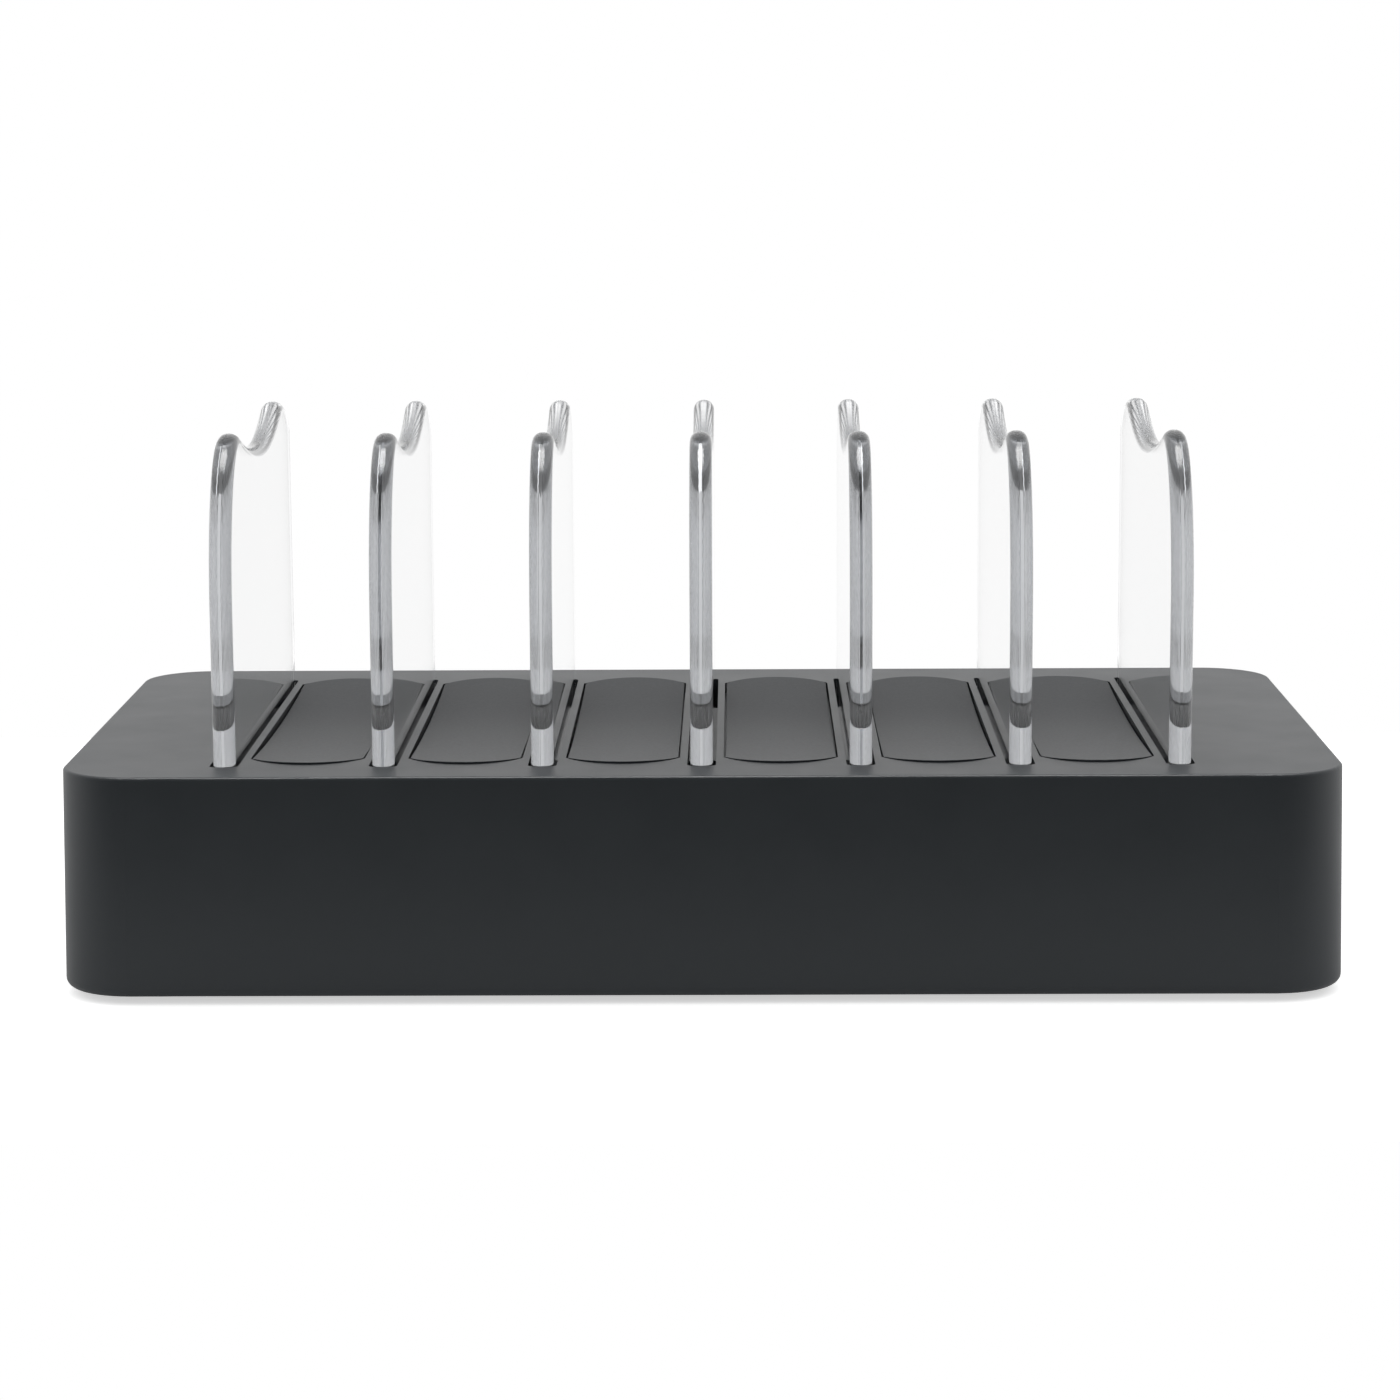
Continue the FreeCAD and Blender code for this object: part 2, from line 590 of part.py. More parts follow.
def can(diameter, height, x, y, low):
    """Standing capacitor can with a rolled crimp above its base."""
    radius = diameter / 2
    groove = low + 3 * CAN_CRIMP
    profile = [
        (0, low), (radius, low), (radius, groove), (radius - CAN_CRIMP, groove + CAN_CRIMP),
        (radius, groove + 2 * CAN_CRIMP), (radius, low + height - CAN_CRIMP),
        (radius - CAN_CRIMP, low + height), (0, low + height),
    ]
    return turned(profile, x, y)


def bulk_capacitor():
    """Large capacitor lying on the board under the last bay but one."""
    lying = can(BULK_DIAMETER, BULK_LENGTH, 0.0, 0.0, -BULK_LENGTH / 2)
    lying.rotate(Vector(0, 0, 0), Vector(1, 0, 0), 90)
    lying.translate(Vector(BAY_XS[-2], BULK_Y, BOARD_TOP + BULK_DIAMETER / 2))
    return lying


def output_capacitors():
    """Standing capacitors under the bays on the left."""
    return [can(OUTPUT_DIAMETER, OUTPUT_HEIGHT, x, OUTPUT_Y, BOARD_TOP) for x in BAY_XS[:2]]


def line_choke():
    """Ring-shaped mains filter choke."""
    ring = rod(CHOKE_DIAMETER, BOARD_TOP, BOARD_TOP + CHOKE_HEIGHT, BAY_XS[-1], CHOKE_Y)
    ring = ring.cut(rod(CHOKE_BORE, BOARD_TOP, BOARD_TOP + CHOKE_HEIGHT, BAY_XS[-1], CHOKE_Y))
    rounding = min(CHOKE_HEIGHT, (CHOKE_DIAMETER - CHOKE_BORE) / 2) / 3
    return ring.makeFillet(rounding, edges_at_level(ring, BOARD_TOP + CHOKE_HEIGHT))


def heat_sink(x):
    """Finned aluminium plate on the board."""
    high = BOARD_TOP + SINK_HEIGHT
    plate = block(SINK_LENGTH, SINK_THICKNESS, BOARD_TOP, high, x, SINK_Y)
    step = (SINK_LENGTH - SINK_FIN_THICKNESS) / (SINK_FINS - 1)
    fins = []
    for i in range(SINK_FINS):
        fin_x = x - (SINK_LENGTH - SINK_FIN_THICKNESS) / 2 + i * step
        fin_y = SINK_Y + (SINK_THICKNESS + SINK_FIN_DEPTH) / 2
        fins.append(block(SINK_FIN_THICKNESS, SINK_FIN_DEPTH, BOARD_TOP, high, fin_x, fin_y))
    return joined(plate, fins)


def charger_chips():
    """One charging controller behind each socket."""
    y = CHIP_FRONT + CHIP_LENGTH / 2
    return [block(CHIP_WIDTH, CHIP_LENGTH, BOARD_TOP, BOARD_TOP + CHIP_HEIGHT, x, y) for x in BAY_XS]


def save(name, shape):
    """Write one node; a list of shapes is a group of separate solids."""
    if isinstance(shape, list):
        shape = Part.makeCompound(shape)
    shape.exportStep(os.path.join("parts", name + ".step"))


def main():
    """Build every piece and write it."""
    os.makedirs("parts", exist_ok=True)
    save("top_shell", top_shell())
    save("bottom_cover", bottom_cover())
    save("case_screws", [case_screw(x, y) for x, y in CASE_SCREW_PLACES])
    save("rubber_feet", [foot(x, y) for x, y in FOOT_PLACES])
    for number, x in enumerate(DIVIDER_XS, start=1):
        save(f"divider_{number}", divider(x))
    for number, x in enumerate(BAY_XS, start=1):
        save(f"pad_{number}", pad(x))
        save(f"usb_shell_{number}", usb_shell(x))
        save(f"usb_tongue_{number}", usb_tongue(x))
    save("usb_contacts", usb_contacts())
    save("main_board", main_board())
    save("board_screws", [board_screw(x, y) for x, y in BOARD_SCREW_PLACES])
    save("power_inlet", power_inlet())
    save("inlet_pins", inlet_pins())
    save("transformer_core", transformer_core())
    save("transformer_winding", transformer_winding())
    save("bulk_capacitor", bulk_capacitor())
    save("output_capacitors", output_capacitors())
    save("line_choke", line_choke())
    save("heat_sinks", [heat_sink(x) for x in (BAY_XS[1], BAY_XS[-2])])
    save("charger_chips", charger_chips())


main()
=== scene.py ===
"""Looks of a charging station organizer, made round its packed construction.

A low charcoal base with rubber pads on its top carries seven clear dividers, which lift out of their slots.
Lengths are written in millimetres and turned to metres with MM. +X runs along the row of dividers, +Y points
to the back, where the charging sockets are, and +Z is up.
"""
import logging
import math
from dataclasses import dataclass, field
from enum import Enum
from functools import partial
from typing import Any

import bmesh
import bpy
from mathutils import Matrix, Vector


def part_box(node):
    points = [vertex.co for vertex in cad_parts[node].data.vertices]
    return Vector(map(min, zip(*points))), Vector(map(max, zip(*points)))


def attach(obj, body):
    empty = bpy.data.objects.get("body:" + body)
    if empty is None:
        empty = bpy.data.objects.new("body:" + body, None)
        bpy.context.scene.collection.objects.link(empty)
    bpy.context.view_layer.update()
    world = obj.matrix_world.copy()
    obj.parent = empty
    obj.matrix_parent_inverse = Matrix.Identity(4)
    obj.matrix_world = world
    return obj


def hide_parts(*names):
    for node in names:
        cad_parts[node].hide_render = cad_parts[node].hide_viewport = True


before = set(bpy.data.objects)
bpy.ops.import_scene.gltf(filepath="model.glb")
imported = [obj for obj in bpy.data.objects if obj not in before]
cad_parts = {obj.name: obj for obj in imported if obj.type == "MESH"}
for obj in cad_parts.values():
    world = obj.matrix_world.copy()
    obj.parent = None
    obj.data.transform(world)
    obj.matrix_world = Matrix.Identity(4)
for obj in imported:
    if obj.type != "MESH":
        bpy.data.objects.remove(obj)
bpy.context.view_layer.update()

Material = bpy.types.Material
Mesh = bpy.types.Mesh
Outputs = bpy.types.NodeOutputs
Piece = bpy.types.Object
Socket = bpy.types.NodeSocket
Tree = bpy.types.NodeTree
Surface = dict[str, Socket]
Span = tuple[float, float]

MM = 0.001
TINY = 0.001 * MM
QUARTER = math.pi / 2
BASE = "base"
BAYS = range(1, 7)
PLATES = range(1, 8)
WHITE = (1.0, 1.0, 1.0, 1.0)
UP = (0.0, 0.0, 1.0)
BEVEL_MARK = "bevel_weight_edge"
GRID_MARK = "grid_place"
# Bounces are counted in whole numbers, so this tells one or more from none
ANY_BOUNCE = 0.5

# Socket and node types that are used often
NUMBER = "NodeSocketFloat"
PLACE = "NodeSocketVector"
MATH = "ShaderNodeMath"
MAP_RANGE = "ShaderNodeMapRange"
MIX = "ShaderNodeMix"
NOISE = "ShaderNodeTexNoise"
BUMP = "ShaderNodeBump"
PRINCIPLED = "ShaderNodeBsdfPrincipled"
SPLIT = "ShaderNodeSeparateXYZ"
COMBINE = "ShaderNodeCombineXYZ"
COMPARE = "FunctionNodeCompare"
LINE = "GeometryNodeCurvePrimitiveLine"
GRID = "GeometryNodeMeshGrid"
JOIN = "GeometryNodeJoinGeometry"
MERGE = "GeometryNodeMergeByDistance"
EXTRUDE = "GeometryNodeExtrudeMesh"
FLIP = "GeometryNodeFlipFaces"
MOVE = "GeometryNodeTransform"
SET_PLACE = "GeometryNodeSetPosition"
SMOOTH = "GeometryNodeSetShadeSmooth"
STORE = "GeometryNodeStoreNamedAttribute"

log = logging.getLogger("organizer")


# Small helpers


def linear(hex_code: str) -> tuple[float, ...]:
    """Turn an sRGB hex colour into linear values.

    Args:
        hex_code: colour such as "#2a2c2f".

    Returns:
        Linear red, green and blue with an alpha of 1.
    """
    parts = [int(hex_code[i:i + 2], 16) / 255 for i in (1, 3, 5)]
    return (*[c / 12.92 if c <= 0.04045 else ((c + 0.055) / 1.055) ** 2.4 for c in parts], 1.0)


def add_node(tree: Tree, kind: str, inputs: dict[str | int, Any] | None = None, **settings: Any) -> Outputs:
    """Add one node with its settings and links.

    Args:
        tree: node tree that takes the node.
        kind: type of the node.
        inputs: by the input's name or number, a value, a socket to link from, or a list of such sockets.
        settings: properties of the node.

    Returns:
        The node's outputs.
    """
    node = tree.nodes.new(kind)
    for name, value in settings.items():
        setattr(node, name, value)
    for key, value in (inputs or {}).items():
        sources = value if isinstance(value, list) else [value]
        if isinstance(sources[0], Socket):
            for source in sources:
                tree.links.new(source, node.inputs[key])
        else:
            node.inputs[key].default_value = value
    return node.outputs


def per_mm(size_mm: float) -> float:
    """Scale of a texture whose features are this many millimetres wide."""
    return 1.0 / (size_mm * MM)


# Finishes


class Direction(Enum):
    """Object axis that a finish's lines or bands follow."""

    X = 0
    Y = 1
    Z = 2


@dataclass(frozen=True)
class Finish:
    """A named material, drawn in the piece's own Object coordinates.

    Fields:
        name: common name of the real material and how its surface was made.
        colour: sRGB colour of its body.
        roughness: typical roughness of the surface.
    """

    name: str
    colour: str
    roughness: float

    def build(self) -> Material:
        """Make the material.

        Returns:
            The material, ready for a piece.
        """
        material = bpy.data.materials.new(self.name)
        material.use_nodes = True
        material.diffuse_color = linear(self.colour)
        tree = material.node_tree
        tree.nodes.clear()
        place = add_node(tree, "ShaderNodeTexCoord")["Object"]
        add_node(tree, "ShaderNodeOutputMaterial", self.shade(tree, place))
        return material

    def shade(self, tree: Tree, place: Socket) -> Surface:
        """Draw the surface, which each kind of finish does in its own way.

        Args:
            tree: the material's node tree.
            place: Object coordinates.

        Returns:
            Sockets for the material's output, by name.
        """
        raise NotImplementedError


@dataclass(frozen=True)
class Patterned(Finish):
    """A finish with two tones, a fine relief and a gloss that may be uneven.

    Fields:
        tone: second colour of its body.
        depth_mm: height of the relief.
        play: how far the roughness moves each way.
    """

    tone: str
    depth_mm: float = field(default=0.0, kw_only=True)
    play: float = field(default=0.0, kw_only=True)

    def coat(self, tree: Tree, tones: Socket, relief: Socket, gloss: Socket | None = None,
             shine: dict[str, Any] | None = None) -> Surface:
        """Put tones, relief and gloss into one shader.

        Args:
            tree: the material's node tree.
            tones: pattern that mixes the two tones.
            relief: pattern of the height.
            gloss: pattern that the roughness plays with; without one it is even.
            shine: the shader's other inputs.

        Returns:
            Sockets for the material's output, by name.
        """
        body = add_node(tree, MIX, {0: tones, 6: linear(self.colour), 7: linear(self.tone)}, data_type="RGBA")
        bump = add_node(tree, BUMP, {"Height": relief, "Distance": self.depth_mm * MM})
        rough: Socket | float = self.roughness
        if gloss is not None:
            ends = {"To Min": self.roughness - self.play, "To Max": self.roughness + self.play}
            rough = add_node(tree, MAP_RANGE, {"Value": gloss} | ends)["Result"]
        inputs = {"Base Color": body[2], "Roughness": rough, "Normal": bump["Normal"]}
        return {"Surface": add_node(tree, PRINCIPLED, inputs | (shine or {}))["BSDF"]}


@dataclass(frozen=True, kw_only=True)
class MouldedPlastic(Patterned):
    """Injection-moulded plastic from a spark-eroded tool: a fine even grain that breaks the gloss to satin.

    Its second tone and its play follow the slow mottling that moulded parts show.

    Fields:
        ior: index of refraction.
        grain_mm: width of a grain; the real one is near 0.1 mm, drawn coarser so that it shows.
        mottle_mm: width of the slow patches of tone and gloss.
    """

    ior: float = 1.5
    grain_mm: float = 0.32
    depth_mm: float = 0.006
    mottle_mm: float = 9.0
    play: float = 0.05

    def shade(self, tree: Tree, place: Socket) -> Surface:
        """Draw grain and mottling.

        Args:
            tree: the material's node tree.
            place: Object coordinates.

        Returns:
            Sockets for the material's output, by name.
        """
        fine = {"Vector": place, "Scale": per_mm(self.grain_mm), "Detail": 2.0, "Roughness": 0.55}
        grain = add_node(tree, NOISE, fine)["Fac"]
        slow = {"Vector": place, "Scale": per_mm(self.mottle_mm), "Detail": 3.0}
        patches = add_node(tree, NOISE, slow)["Fac"]
        return self.coat(tree, patches, grain, patches, {"IOR": self.ior})


@dataclass(frozen=True, kw_only=True)
class Rubber(Patterned):
    """Moulded silicone rubber: matt, a little dusty, with a soft bloom at a flat angle.

    Its second tone is that of the dusty patches, and its play follows the matt texture.

    Fields:
        ior: index of refraction.
        grain_mm: width of the matt texture, drawn coarser than the real one so that it shows.
        dust_mm: width of the dusty patches.
        sheen: weight of the soft bloom.
        flat_from: turns of a face from the eye, from 0 to 1, between which the gloss rises.
        gloss_level: strength of the gloss before and after that; 0.5 is that of the ior alone.
    """

    ior: float = 1.43
    grain_mm: float = 0.45
    depth_mm: float = 0.008
    dust_mm: float = 6.0
    sheen: float = 0.05
    flat_from: Span = (0.81, 0.89)
    gloss_level: Span = (0.19, 0.88)
    play: float = 0.06

    def shade(self, tree: Tree, place: Socket) -> Surface:
        """Draw the matt texture and the dust.

        Args:
            tree: the material's node tree.
            place: Object coordinates.

        Returns:
            Sockets for the material's output, by name.
        """
        fine = {"Vector": place, "Scale": per_mm(self.grain_mm), "Detail": 3.0, "Roughness": 0.6}
        grain = add_node(tree, NOISE, fine)["Fac"]
        dust = add_node(tree, NOISE, {"Vector": place, "Scale": per_mm(self.dust_mm), "Detail": 4.0})["Fac"]
        facing = add_node(tree, "ShaderNodeLayerWeight", {"Blend": 0.5})["Facing"]
        turn = {"Value": facing, "From Min": self.flat_from[0], "From Max": self.flat_from[1],
                "To Min": self.gloss_level[0], "To Max": self.gloss_level[1]}
        level = add_node(tree, MAP_RANGE, turn, interpolation_type="SMOOTHSTEP")["Result"]
        shine = {"IOR": self.ior, "Specular IOR Level": level, "Sheen Weight": self.sheen}
        return self.coat(tree, dust, grain, grain, shine)


@dataclass(frozen=True, kw_only=True)
class ClearAcrylic(Finish):
    """Clear cast acrylic: clear across its 3 mm, grey along its length, with polishing lines on the edges.

    Its roughness is that of the edge in the dip and on the rear horn, left matt. The rest is
    polished, with a slight haze near the foot.

    Fields:
        tint: colour that long paths through the plate take on.
        density: how fast they take it on, per metre.
        ior: index of refraction of acrylic.
        line_mm: spacing of the polishing lines, which run along the edges of the plate.
        depth_mm: depth of those lines.
        fade_mm: distances from the front end between which the lines fade, as the rest is polished more.
        rest: share of the lines that is left there.
        cut_mm: height up to which the edges of the tabs are left as the saw cut them.
        end_cut_mm: how much higher the rough cut goes on the ends of the plate, up to the mouth of the slot.
        ends_mm: places of the front and the back end along Y.
        edge_mm: radius of the edges round the ends, over which the rough cut rises.
        haze: share of the light from outside that a polished edge still scatters near its foot.
        haze_mm: heights between which that ends.
        matt_from_mm: places along Y between which the matt edge begins.
        matt_above_mm: heights between which the matt edge begins.
        pitch_mm: spacing of the plates, one of which stands at X 0.
        half_mm: half the thickness of a plate.
        skin_mm: what a point on an edge is nearer to the plate's middle than a point on a face, at least.
    """

    tint: str
    density: float
    ior: float = 1.49
    line_mm: float = 0.45
    depth_mm: float = 0.003
    fade_mm: Span = (10.0, 24.0)
    rest: float = 0.12
    cut_mm: float = 28.3
    end_cut_mm: float = 1.9
    ends_mm: Span = (-36.7, 34.7)
    edge_mm: float = 1.35
    haze: float = 0.12
    haze_mm: Span = (44.0, 60.0)
    matt_from_mm: Span = (0.0, 8.0)
    matt_above_mm: Span = (63.0, 67.0)
    pitch_mm: float = 21.0667
    half_mm: float = 1.5
    skin_mm: float = 0.01

    def shade(self, tree: Tree, place: Socket) -> Surface:
        """Draw the polishing lines, the matt edge, the rough tabs and what long paths absorb.

        Args:
            tree: the material's node tree.
            place: Object coordinates.

        Returns:
            Sockets for the material's output, by name.
        """
        add = partial(add_node, tree)
        x, y, z = add(SPLIT, {"Vector": place})
        front, back = self.ends_mm
        # Lines across the thickness only: the flat faces have one X, so they stay clear
        across = {"W": x, "Scale": per_mm(self.line_mm), "Detail": 2.0}
        lines = add(NOISE, across, noise_dimensions="1D")["Fac"]
        start, end = [(front + distance) * MM for distance in self.fade_mm]
        fading = {"Value": y, "From Min": start, "From Max": end, "To Min": 1.0, "To Max": self.rest}
        fade = add(MAP_RANGE, fading)["Result"]
        relief = add(BUMP, {"Height": lines, "Distance": self.depth_mm * MM, "Strength": fade})
        # The matt edge: near the middle of a plate's thickness, behind the dip's lowest point and high up
        beside = add(MATH, {0: x, 1: self.pitch_mm / 2 * MM}, operation="PINGPONG")[0]
        matt: Socket | float = self.roughness
        rounding = (self.half_mm, self.half_mm - self.edge_mm)
        for source, (start, end) in ((beside, rounding), (y, self.matt_from_mm), (z, self.matt_above_mm)):
            share = add(MAP_RANGE, {"Value": source, "From Min": start * MM, "From Max": end * MM})
            matt = add(MATH, {0: share["Result"], 1: matt}, operation="MULTIPLY")[0]
        clear = add(PRINCIPLED, {
            "Base Color": linear(self.colour), "Roughness": matt, "IOR": self.ior, "Transmission Weight": 1.0,
            "Normal": relief["Normal"]})["BSDF"]
        # The rough cut: low down, and a little higher at the two ends
        endwise = y
        for operation, other in (("SUBTRACT", (front + back) / 2 * MM), ("ABSOLUTE", 0.0)):
            endwise = add(MATH, {0: endwise, 1: other}, operation=operation)[0]
        half = (back - front) / 2
        limit = add(MAP_RANGE, {
            "Value": endwise, "From Min": (half - self.edge_mm) * MM, "From Max": half * MM,
            "To Min": self.cut_mm * MM, "To Max": (self.cut_mm + self.end_cut_mm) * MM})["Result"]
        is_low = add(MATH, {0: z, 1: limit}, operation="LESS_THAN")[0]
        inside = add("ShaderNodeNewGeometry")["Backfacing"]
        hazy = add(MATH, {0: inside, 1: -self.haze, 2: self.haze}, operation="MULTIPLY_ADD")[0]
        worn = add(MAP_RANGE, {
            "Value": z, "From Min": self.haze_mm[0] * MM, "From Max": self.haze_mm[1] * MM, "To Min": hazy,
            "To Max": 0.0})["Result"]
        dull = add(MATH, {0: is_low, 1: worn}, operation="MAXIMUM")[0]
        is_edge = add(MATH, {0: beside, 1: (self.half_mm - self.skin_mm) * MM}, operation="LESS_THAN")[0]
        rough = add(MATH, {0: dull, 1: is_edge}, operation="MULTIPLY")[0]
        sawn = add("ShaderNodeBsdfDiffuse", {"Color": linear(self.colour)})["BSDF"]
        surface = add("ShaderNodeMixShader", {0: rough, 1: clear, 2: sawn})[0]
        depth = add("ShaderNodeVolumeAbsorption", {"Color": linear(self.tint), "Density": self.density})
        return {"Surface": surface, "Volume": depth["Volume"]}


@dataclass(frozen=True, kw_only=True)
class Metal(Patterned):
    """Plated, rolled or drawn metal: fine lines along one direction and a slow play of tarnish.

    Its second tone is that of the duller patches, and its play follows the lines.

    Fields:
        lines: axis that the lines run along.
        line_mm: spacing of the lines.
        stretch: scale of the pattern along the lines.
        patch_mm: width of the duller patches.
    """

    lines: Direction
    line_mm: float = 0.18
    stretch: float = 0.04
    depth_mm: float = 0.002
    patch_mm: float = 3.0
    play: float = 0.1

    def shade(self, tree: Tree, place: Socket) -> Surface:
        """Draw the lines and the tarnish.

        Args:
            tree: the material's node tree.
            place: Object coordinates.

        Returns:
            Sockets for the material's output, by name.
        """
        scale = tuple(self.stretch if axis is self.lines else 1.0 for axis in Direction)
        along = add_node(tree, "ShaderNodeMapping", {"Vector": place, "Scale": scale})["Vector"]
        lines = add_node(tree, NOISE, {"Vector": along, "Scale": per_mm(self.line_mm), "Detail": 2.0})["Fac"]
        slow = {"Vector": place, "Scale": per_mm(self.patch_mm), "Detail": 3.0}
        patches = add_node(tree, NOISE, slow)["Fac"]
        return self.coat(tree, patches, lines, lines, {"Metallic": 1.0})


@dataclass(frozen=True, kw_only=True)
class CircuitBoard(Patterned):
    """Glass-fibre board under green solder mask: tracks show as lighter, slightly raised bands.

    Its second tone is that of the mask over copper, and its relief is the thickness of that copper.

    Fields:
        row_mm: length of the pattern's unit, four tracks wide.
    """

    row_mm: float = 9.6
    depth_mm: float = 0.035

    def shade(self, tree: Tree, place: Socket) -> Surface:
        """Draw the tracks.

        Args:
            tree: the material's node tree.
            place: Object coordinates.

        Returns:
            Sockets for the material's output, by name.
        """
        tracks = add_node(tree, "ShaderNodeTexBrick", {
            "Vector": place, "Color1": WHITE, "Color2": linear("#e0e0e0"), "Mortar": linear("#000000"),
            "Scale": per_mm(self.row_mm), "Mortar Size": 0.03, "Mortar Smooth": 0.3}, offset=0.5)["Color"]
        return self.coat(tree, tracks, tracks)


@dataclass(frozen=True, kw_only=True)
class Banded(Patterned):
    """A wrapped or shrunk skin, such as tape or a capacitor's sleeve: bands along one direction.

    Its second tone is that of the overlaps, and its relief is their height.

    Fields:
        band_mm: width of a band.
        bands: axis that the bands follow one another along.
        wander: how uneven the bands are.
    """

    band_mm: float
    bands: Direction
    depth_mm: float = 0.02
    wander: float = 0.6

    def shade(self, tree: Tree, place: Socket) -> Surface:
        """Draw the bands.

        Args:
            tree: the material's node tree.
            place: Object coordinates.

        Returns:
            Sockets for the material's output, by name.
        """
        turns = {"Vector": place, "Scale": per_mm(math.tau * self.band_mm), "Distortion": self.wander}
        bands = add_node(tree, "ShaderNodeTexWave", turns, bands_direction=self.bands.name)["Fac"]
        return self.coat(tree, bands, bands)


@dataclass(frozen=True, kw_only=True)
class PaintedLightSheet(Finish):
    """White sheet with painted light: it emits white for the camera, so that it melts into the backdrop, with
    a painted close shadow under the object.

    Fields:
        painted_shade_colour: its darker colour for light that bounced inside a plate, as in the plate's
            edges: painted shade.
        flat_deg: angles between which the sheet, seen in an edge, turns from its painted reflection of the
            backdrop to plain.
        steep_deg: angles between which it turns light again, with a painted highlight that stands for the
            light from above.
        flat_painted_reflection: how much light the painted reflection adds to the sheet at a flat angle in an
            edge.
        steep_painted_highlight: how much the painted highlight, for the light from above, adds to it at a
            steep angle in an edge.
        camera_lift: how much white the sheet emits for the camera, also through the faces of a plate.
        contact_mm: reach of the painted close shadow in that white, under and round the base.
        contact_share: how much of that white the painted shadow takes at most.
        glow: how much light the sheet itself emits for all other light, a painted glow that stands for light
            from below.
    """

    painted_shade_colour: str
    flat_deg: Span = (14.0, 24.0)
    steep_deg: Span = (38.0, 44.0)
    flat_painted_reflection: float = 0.62
    steep_painted_highlight: float = 0.7
    camera_lift: float = 0.78
    contact_mm: float = 5.0
    contact_share: float = 0.3
    glow: float = 0.15

    def shade(self, tree: Tree, place: Socket) -> Surface:
        """Draw the sheet: emitted white with a painted contact shadow, a painted reflection and highlight, a
        painted glow, and painted shade in the edges of the plates.

        Args:
            tree: the material's node tree.
            place: Object coordinates, which an even sheet has no use for.

        Returns:
            Sockets for the material's output, by name.
        """
        add = partial(add_node, tree)
        ray = add("ShaderNodeLightPath")
        # Painted shade: for light that bounced inside a plate and comes out at an edge, the sheet takes a
        # darker colour, so an edge shows it dimmer than a face
        bounced = add(MATH, {0: ray["Glossy Depth"], 1: ANY_BOUNCE}, operation="GREATER_THAN")[0]
        dim = add(MATH, {0: bounced, 1: ray["Is Transmission Ray"]}, operation="MULTIPLY")[0]
        tones = {0: dim, 6: linear(self.colour), 7: linear(self.painted_shade_colour)}
        colour = add(MIX, tones, data_type="RGBA")[2]
        body = add("ShaderNodeBsdfDiffuse", {"Color": colour, "Roughness": self.roughness})["BSDF"]
        facing = add("ShaderNodeLayerWeight", {"Blend": 0.5})["Facing"]
        # Painted reflection and highlight: by the angle it is seen at in an edge, the sheet emits more light
        lifts = []
        for (full, none), most in ((self.flat_deg, self.flat_painted_reflection), (self.steep_deg[::-1], self.steep_painted_highlight)):
            start, end = [1 - math.sin(math.radians(angle)) for angle in (none, full)]
            turn = {"Value": facing, "From Min": start, "From Max": end, "To Min": 0.0, "To Max": most}
            lifts.append(add(MAP_RANGE, turn, interpolation_type="SMOOTHSTEP")["Result"])
        bent = add(MATH, dict(enumerate(lifts)), operation="ADD")[0]
        # Painted shadow: the white that the sheet emits dims close to what stands on it
        contact = add("ShaderNodeAmbientOcclusion", {"Distance": self.contact_mm * MM})["AO"]
        darkest = self.camera_lift * (1 - self.contact_share)
        white_with_painted_shadow = add(MAP_RANGE, {"Value": contact, "To Min": darkest, "To Max": self.camera_lift})["Result"]
        seen = {0: ray["Is Camera Ray"], 1: ray["Is Transmission Ray"]}
        is_seen = add(MATH, seen, operation="MAXIMUM")[0]
        # Painted glow: for all other light the sheet emits light itself, though it is no lamp
        straight = add(MIX, {0: is_seen, 2: self.glow, 3: white_with_painted_shadow})[0]
        lift = add(MIX, {0: dim, 2: straight, 3: bent})[0]
        glow = add("ShaderNodeEmission", {"Color": WHITE, "Strength": lift})["Emission"]
        return {"Surface": add("ShaderNodeAddShader", {0: body, 1: glow})[0]}


# The wall of the base shows satin and almost black from the front, and light where it is seen at a flat angle
HOUSING = MouldedPlastic("ABS_moulded_charcoal_satin", "#22272b", 0.42, "#272c30")
# The cover is seen from below only: the same plastic, with a coarser grain
COVER = MouldedPlastic("ABS_moulded_black_grained", "#1b1c1e", 0.55, "#202123", grain_mm=0.5, depth_mm=0.012)
# The mains inlet and the tongues of the sockets are harder, smoother black plastic
INLET = MouldedPlastic("PBT_moulded_black", "#161718", 0.42, "#1b1c1d")
TONGUE = MouldedPlastic("LCP_moulded_black", "#121314", 0.5, "#18191a")
# Chips are dull and even; the ferrites beside them are greyer, with a coarse sintered grain
CHIP = MouldedPlastic("epoxy_moulded_black", "#151617", 0.6, "#1c1d1e", grain_mm=0.25)
FERRITE = MouldedPlastic("ferrite_sintered_grey", "#2b2b2d", 0.5, "#36363a", grain_mm=0.4, depth_mm=0.01)
# The pads are a little darker than the plastic round them, and mirror less except at a very flat angle
PAD = Rubber("silicone_moulded_matt_grey", "#1f2327", 0.5, "#25292d")
# The feet are dead matt and pick up dust
FOOT = Rubber("rubber_moulded_black", "#121213", 0.75, "#1c1c1d", depth_mm=0.015)
# The plates are as clear as glass from the side, and grey and streaked where an edge shows their length
ACRYLIC = ClearAcrylic("acrylic_cast_clear", "#ffffff", 0.32, tint="#d9dbde", density=18.0)
# Screw heads are dark and oily; sockets, contacts and pins are bright, with rolling or drawing lines
SCREW = Metal("steel_black_zinc", "#3a3a3d", 0.38, "#2c2c30", lines=Direction.X)
SHELL = Metal("steel_rolled_nickel_plated", "#c9c7c0", 0.26, "#b4b1a8", lines=Direction.Y)
GOLD = Metal("brass_gold_flashed", "#e2b45a", 0.22, "#cf9f48", lines=Direction.Y)
PIN = Metal("brass_turned_nickel_plated", "#cfcbc0", 0.2, "#bdb8ab", lines=Direction.X)
SINK = Metal("aluminium_extruded_mill", "#c4c6c8", 0.35, "#aeb1b4", lines=Direction.Z)
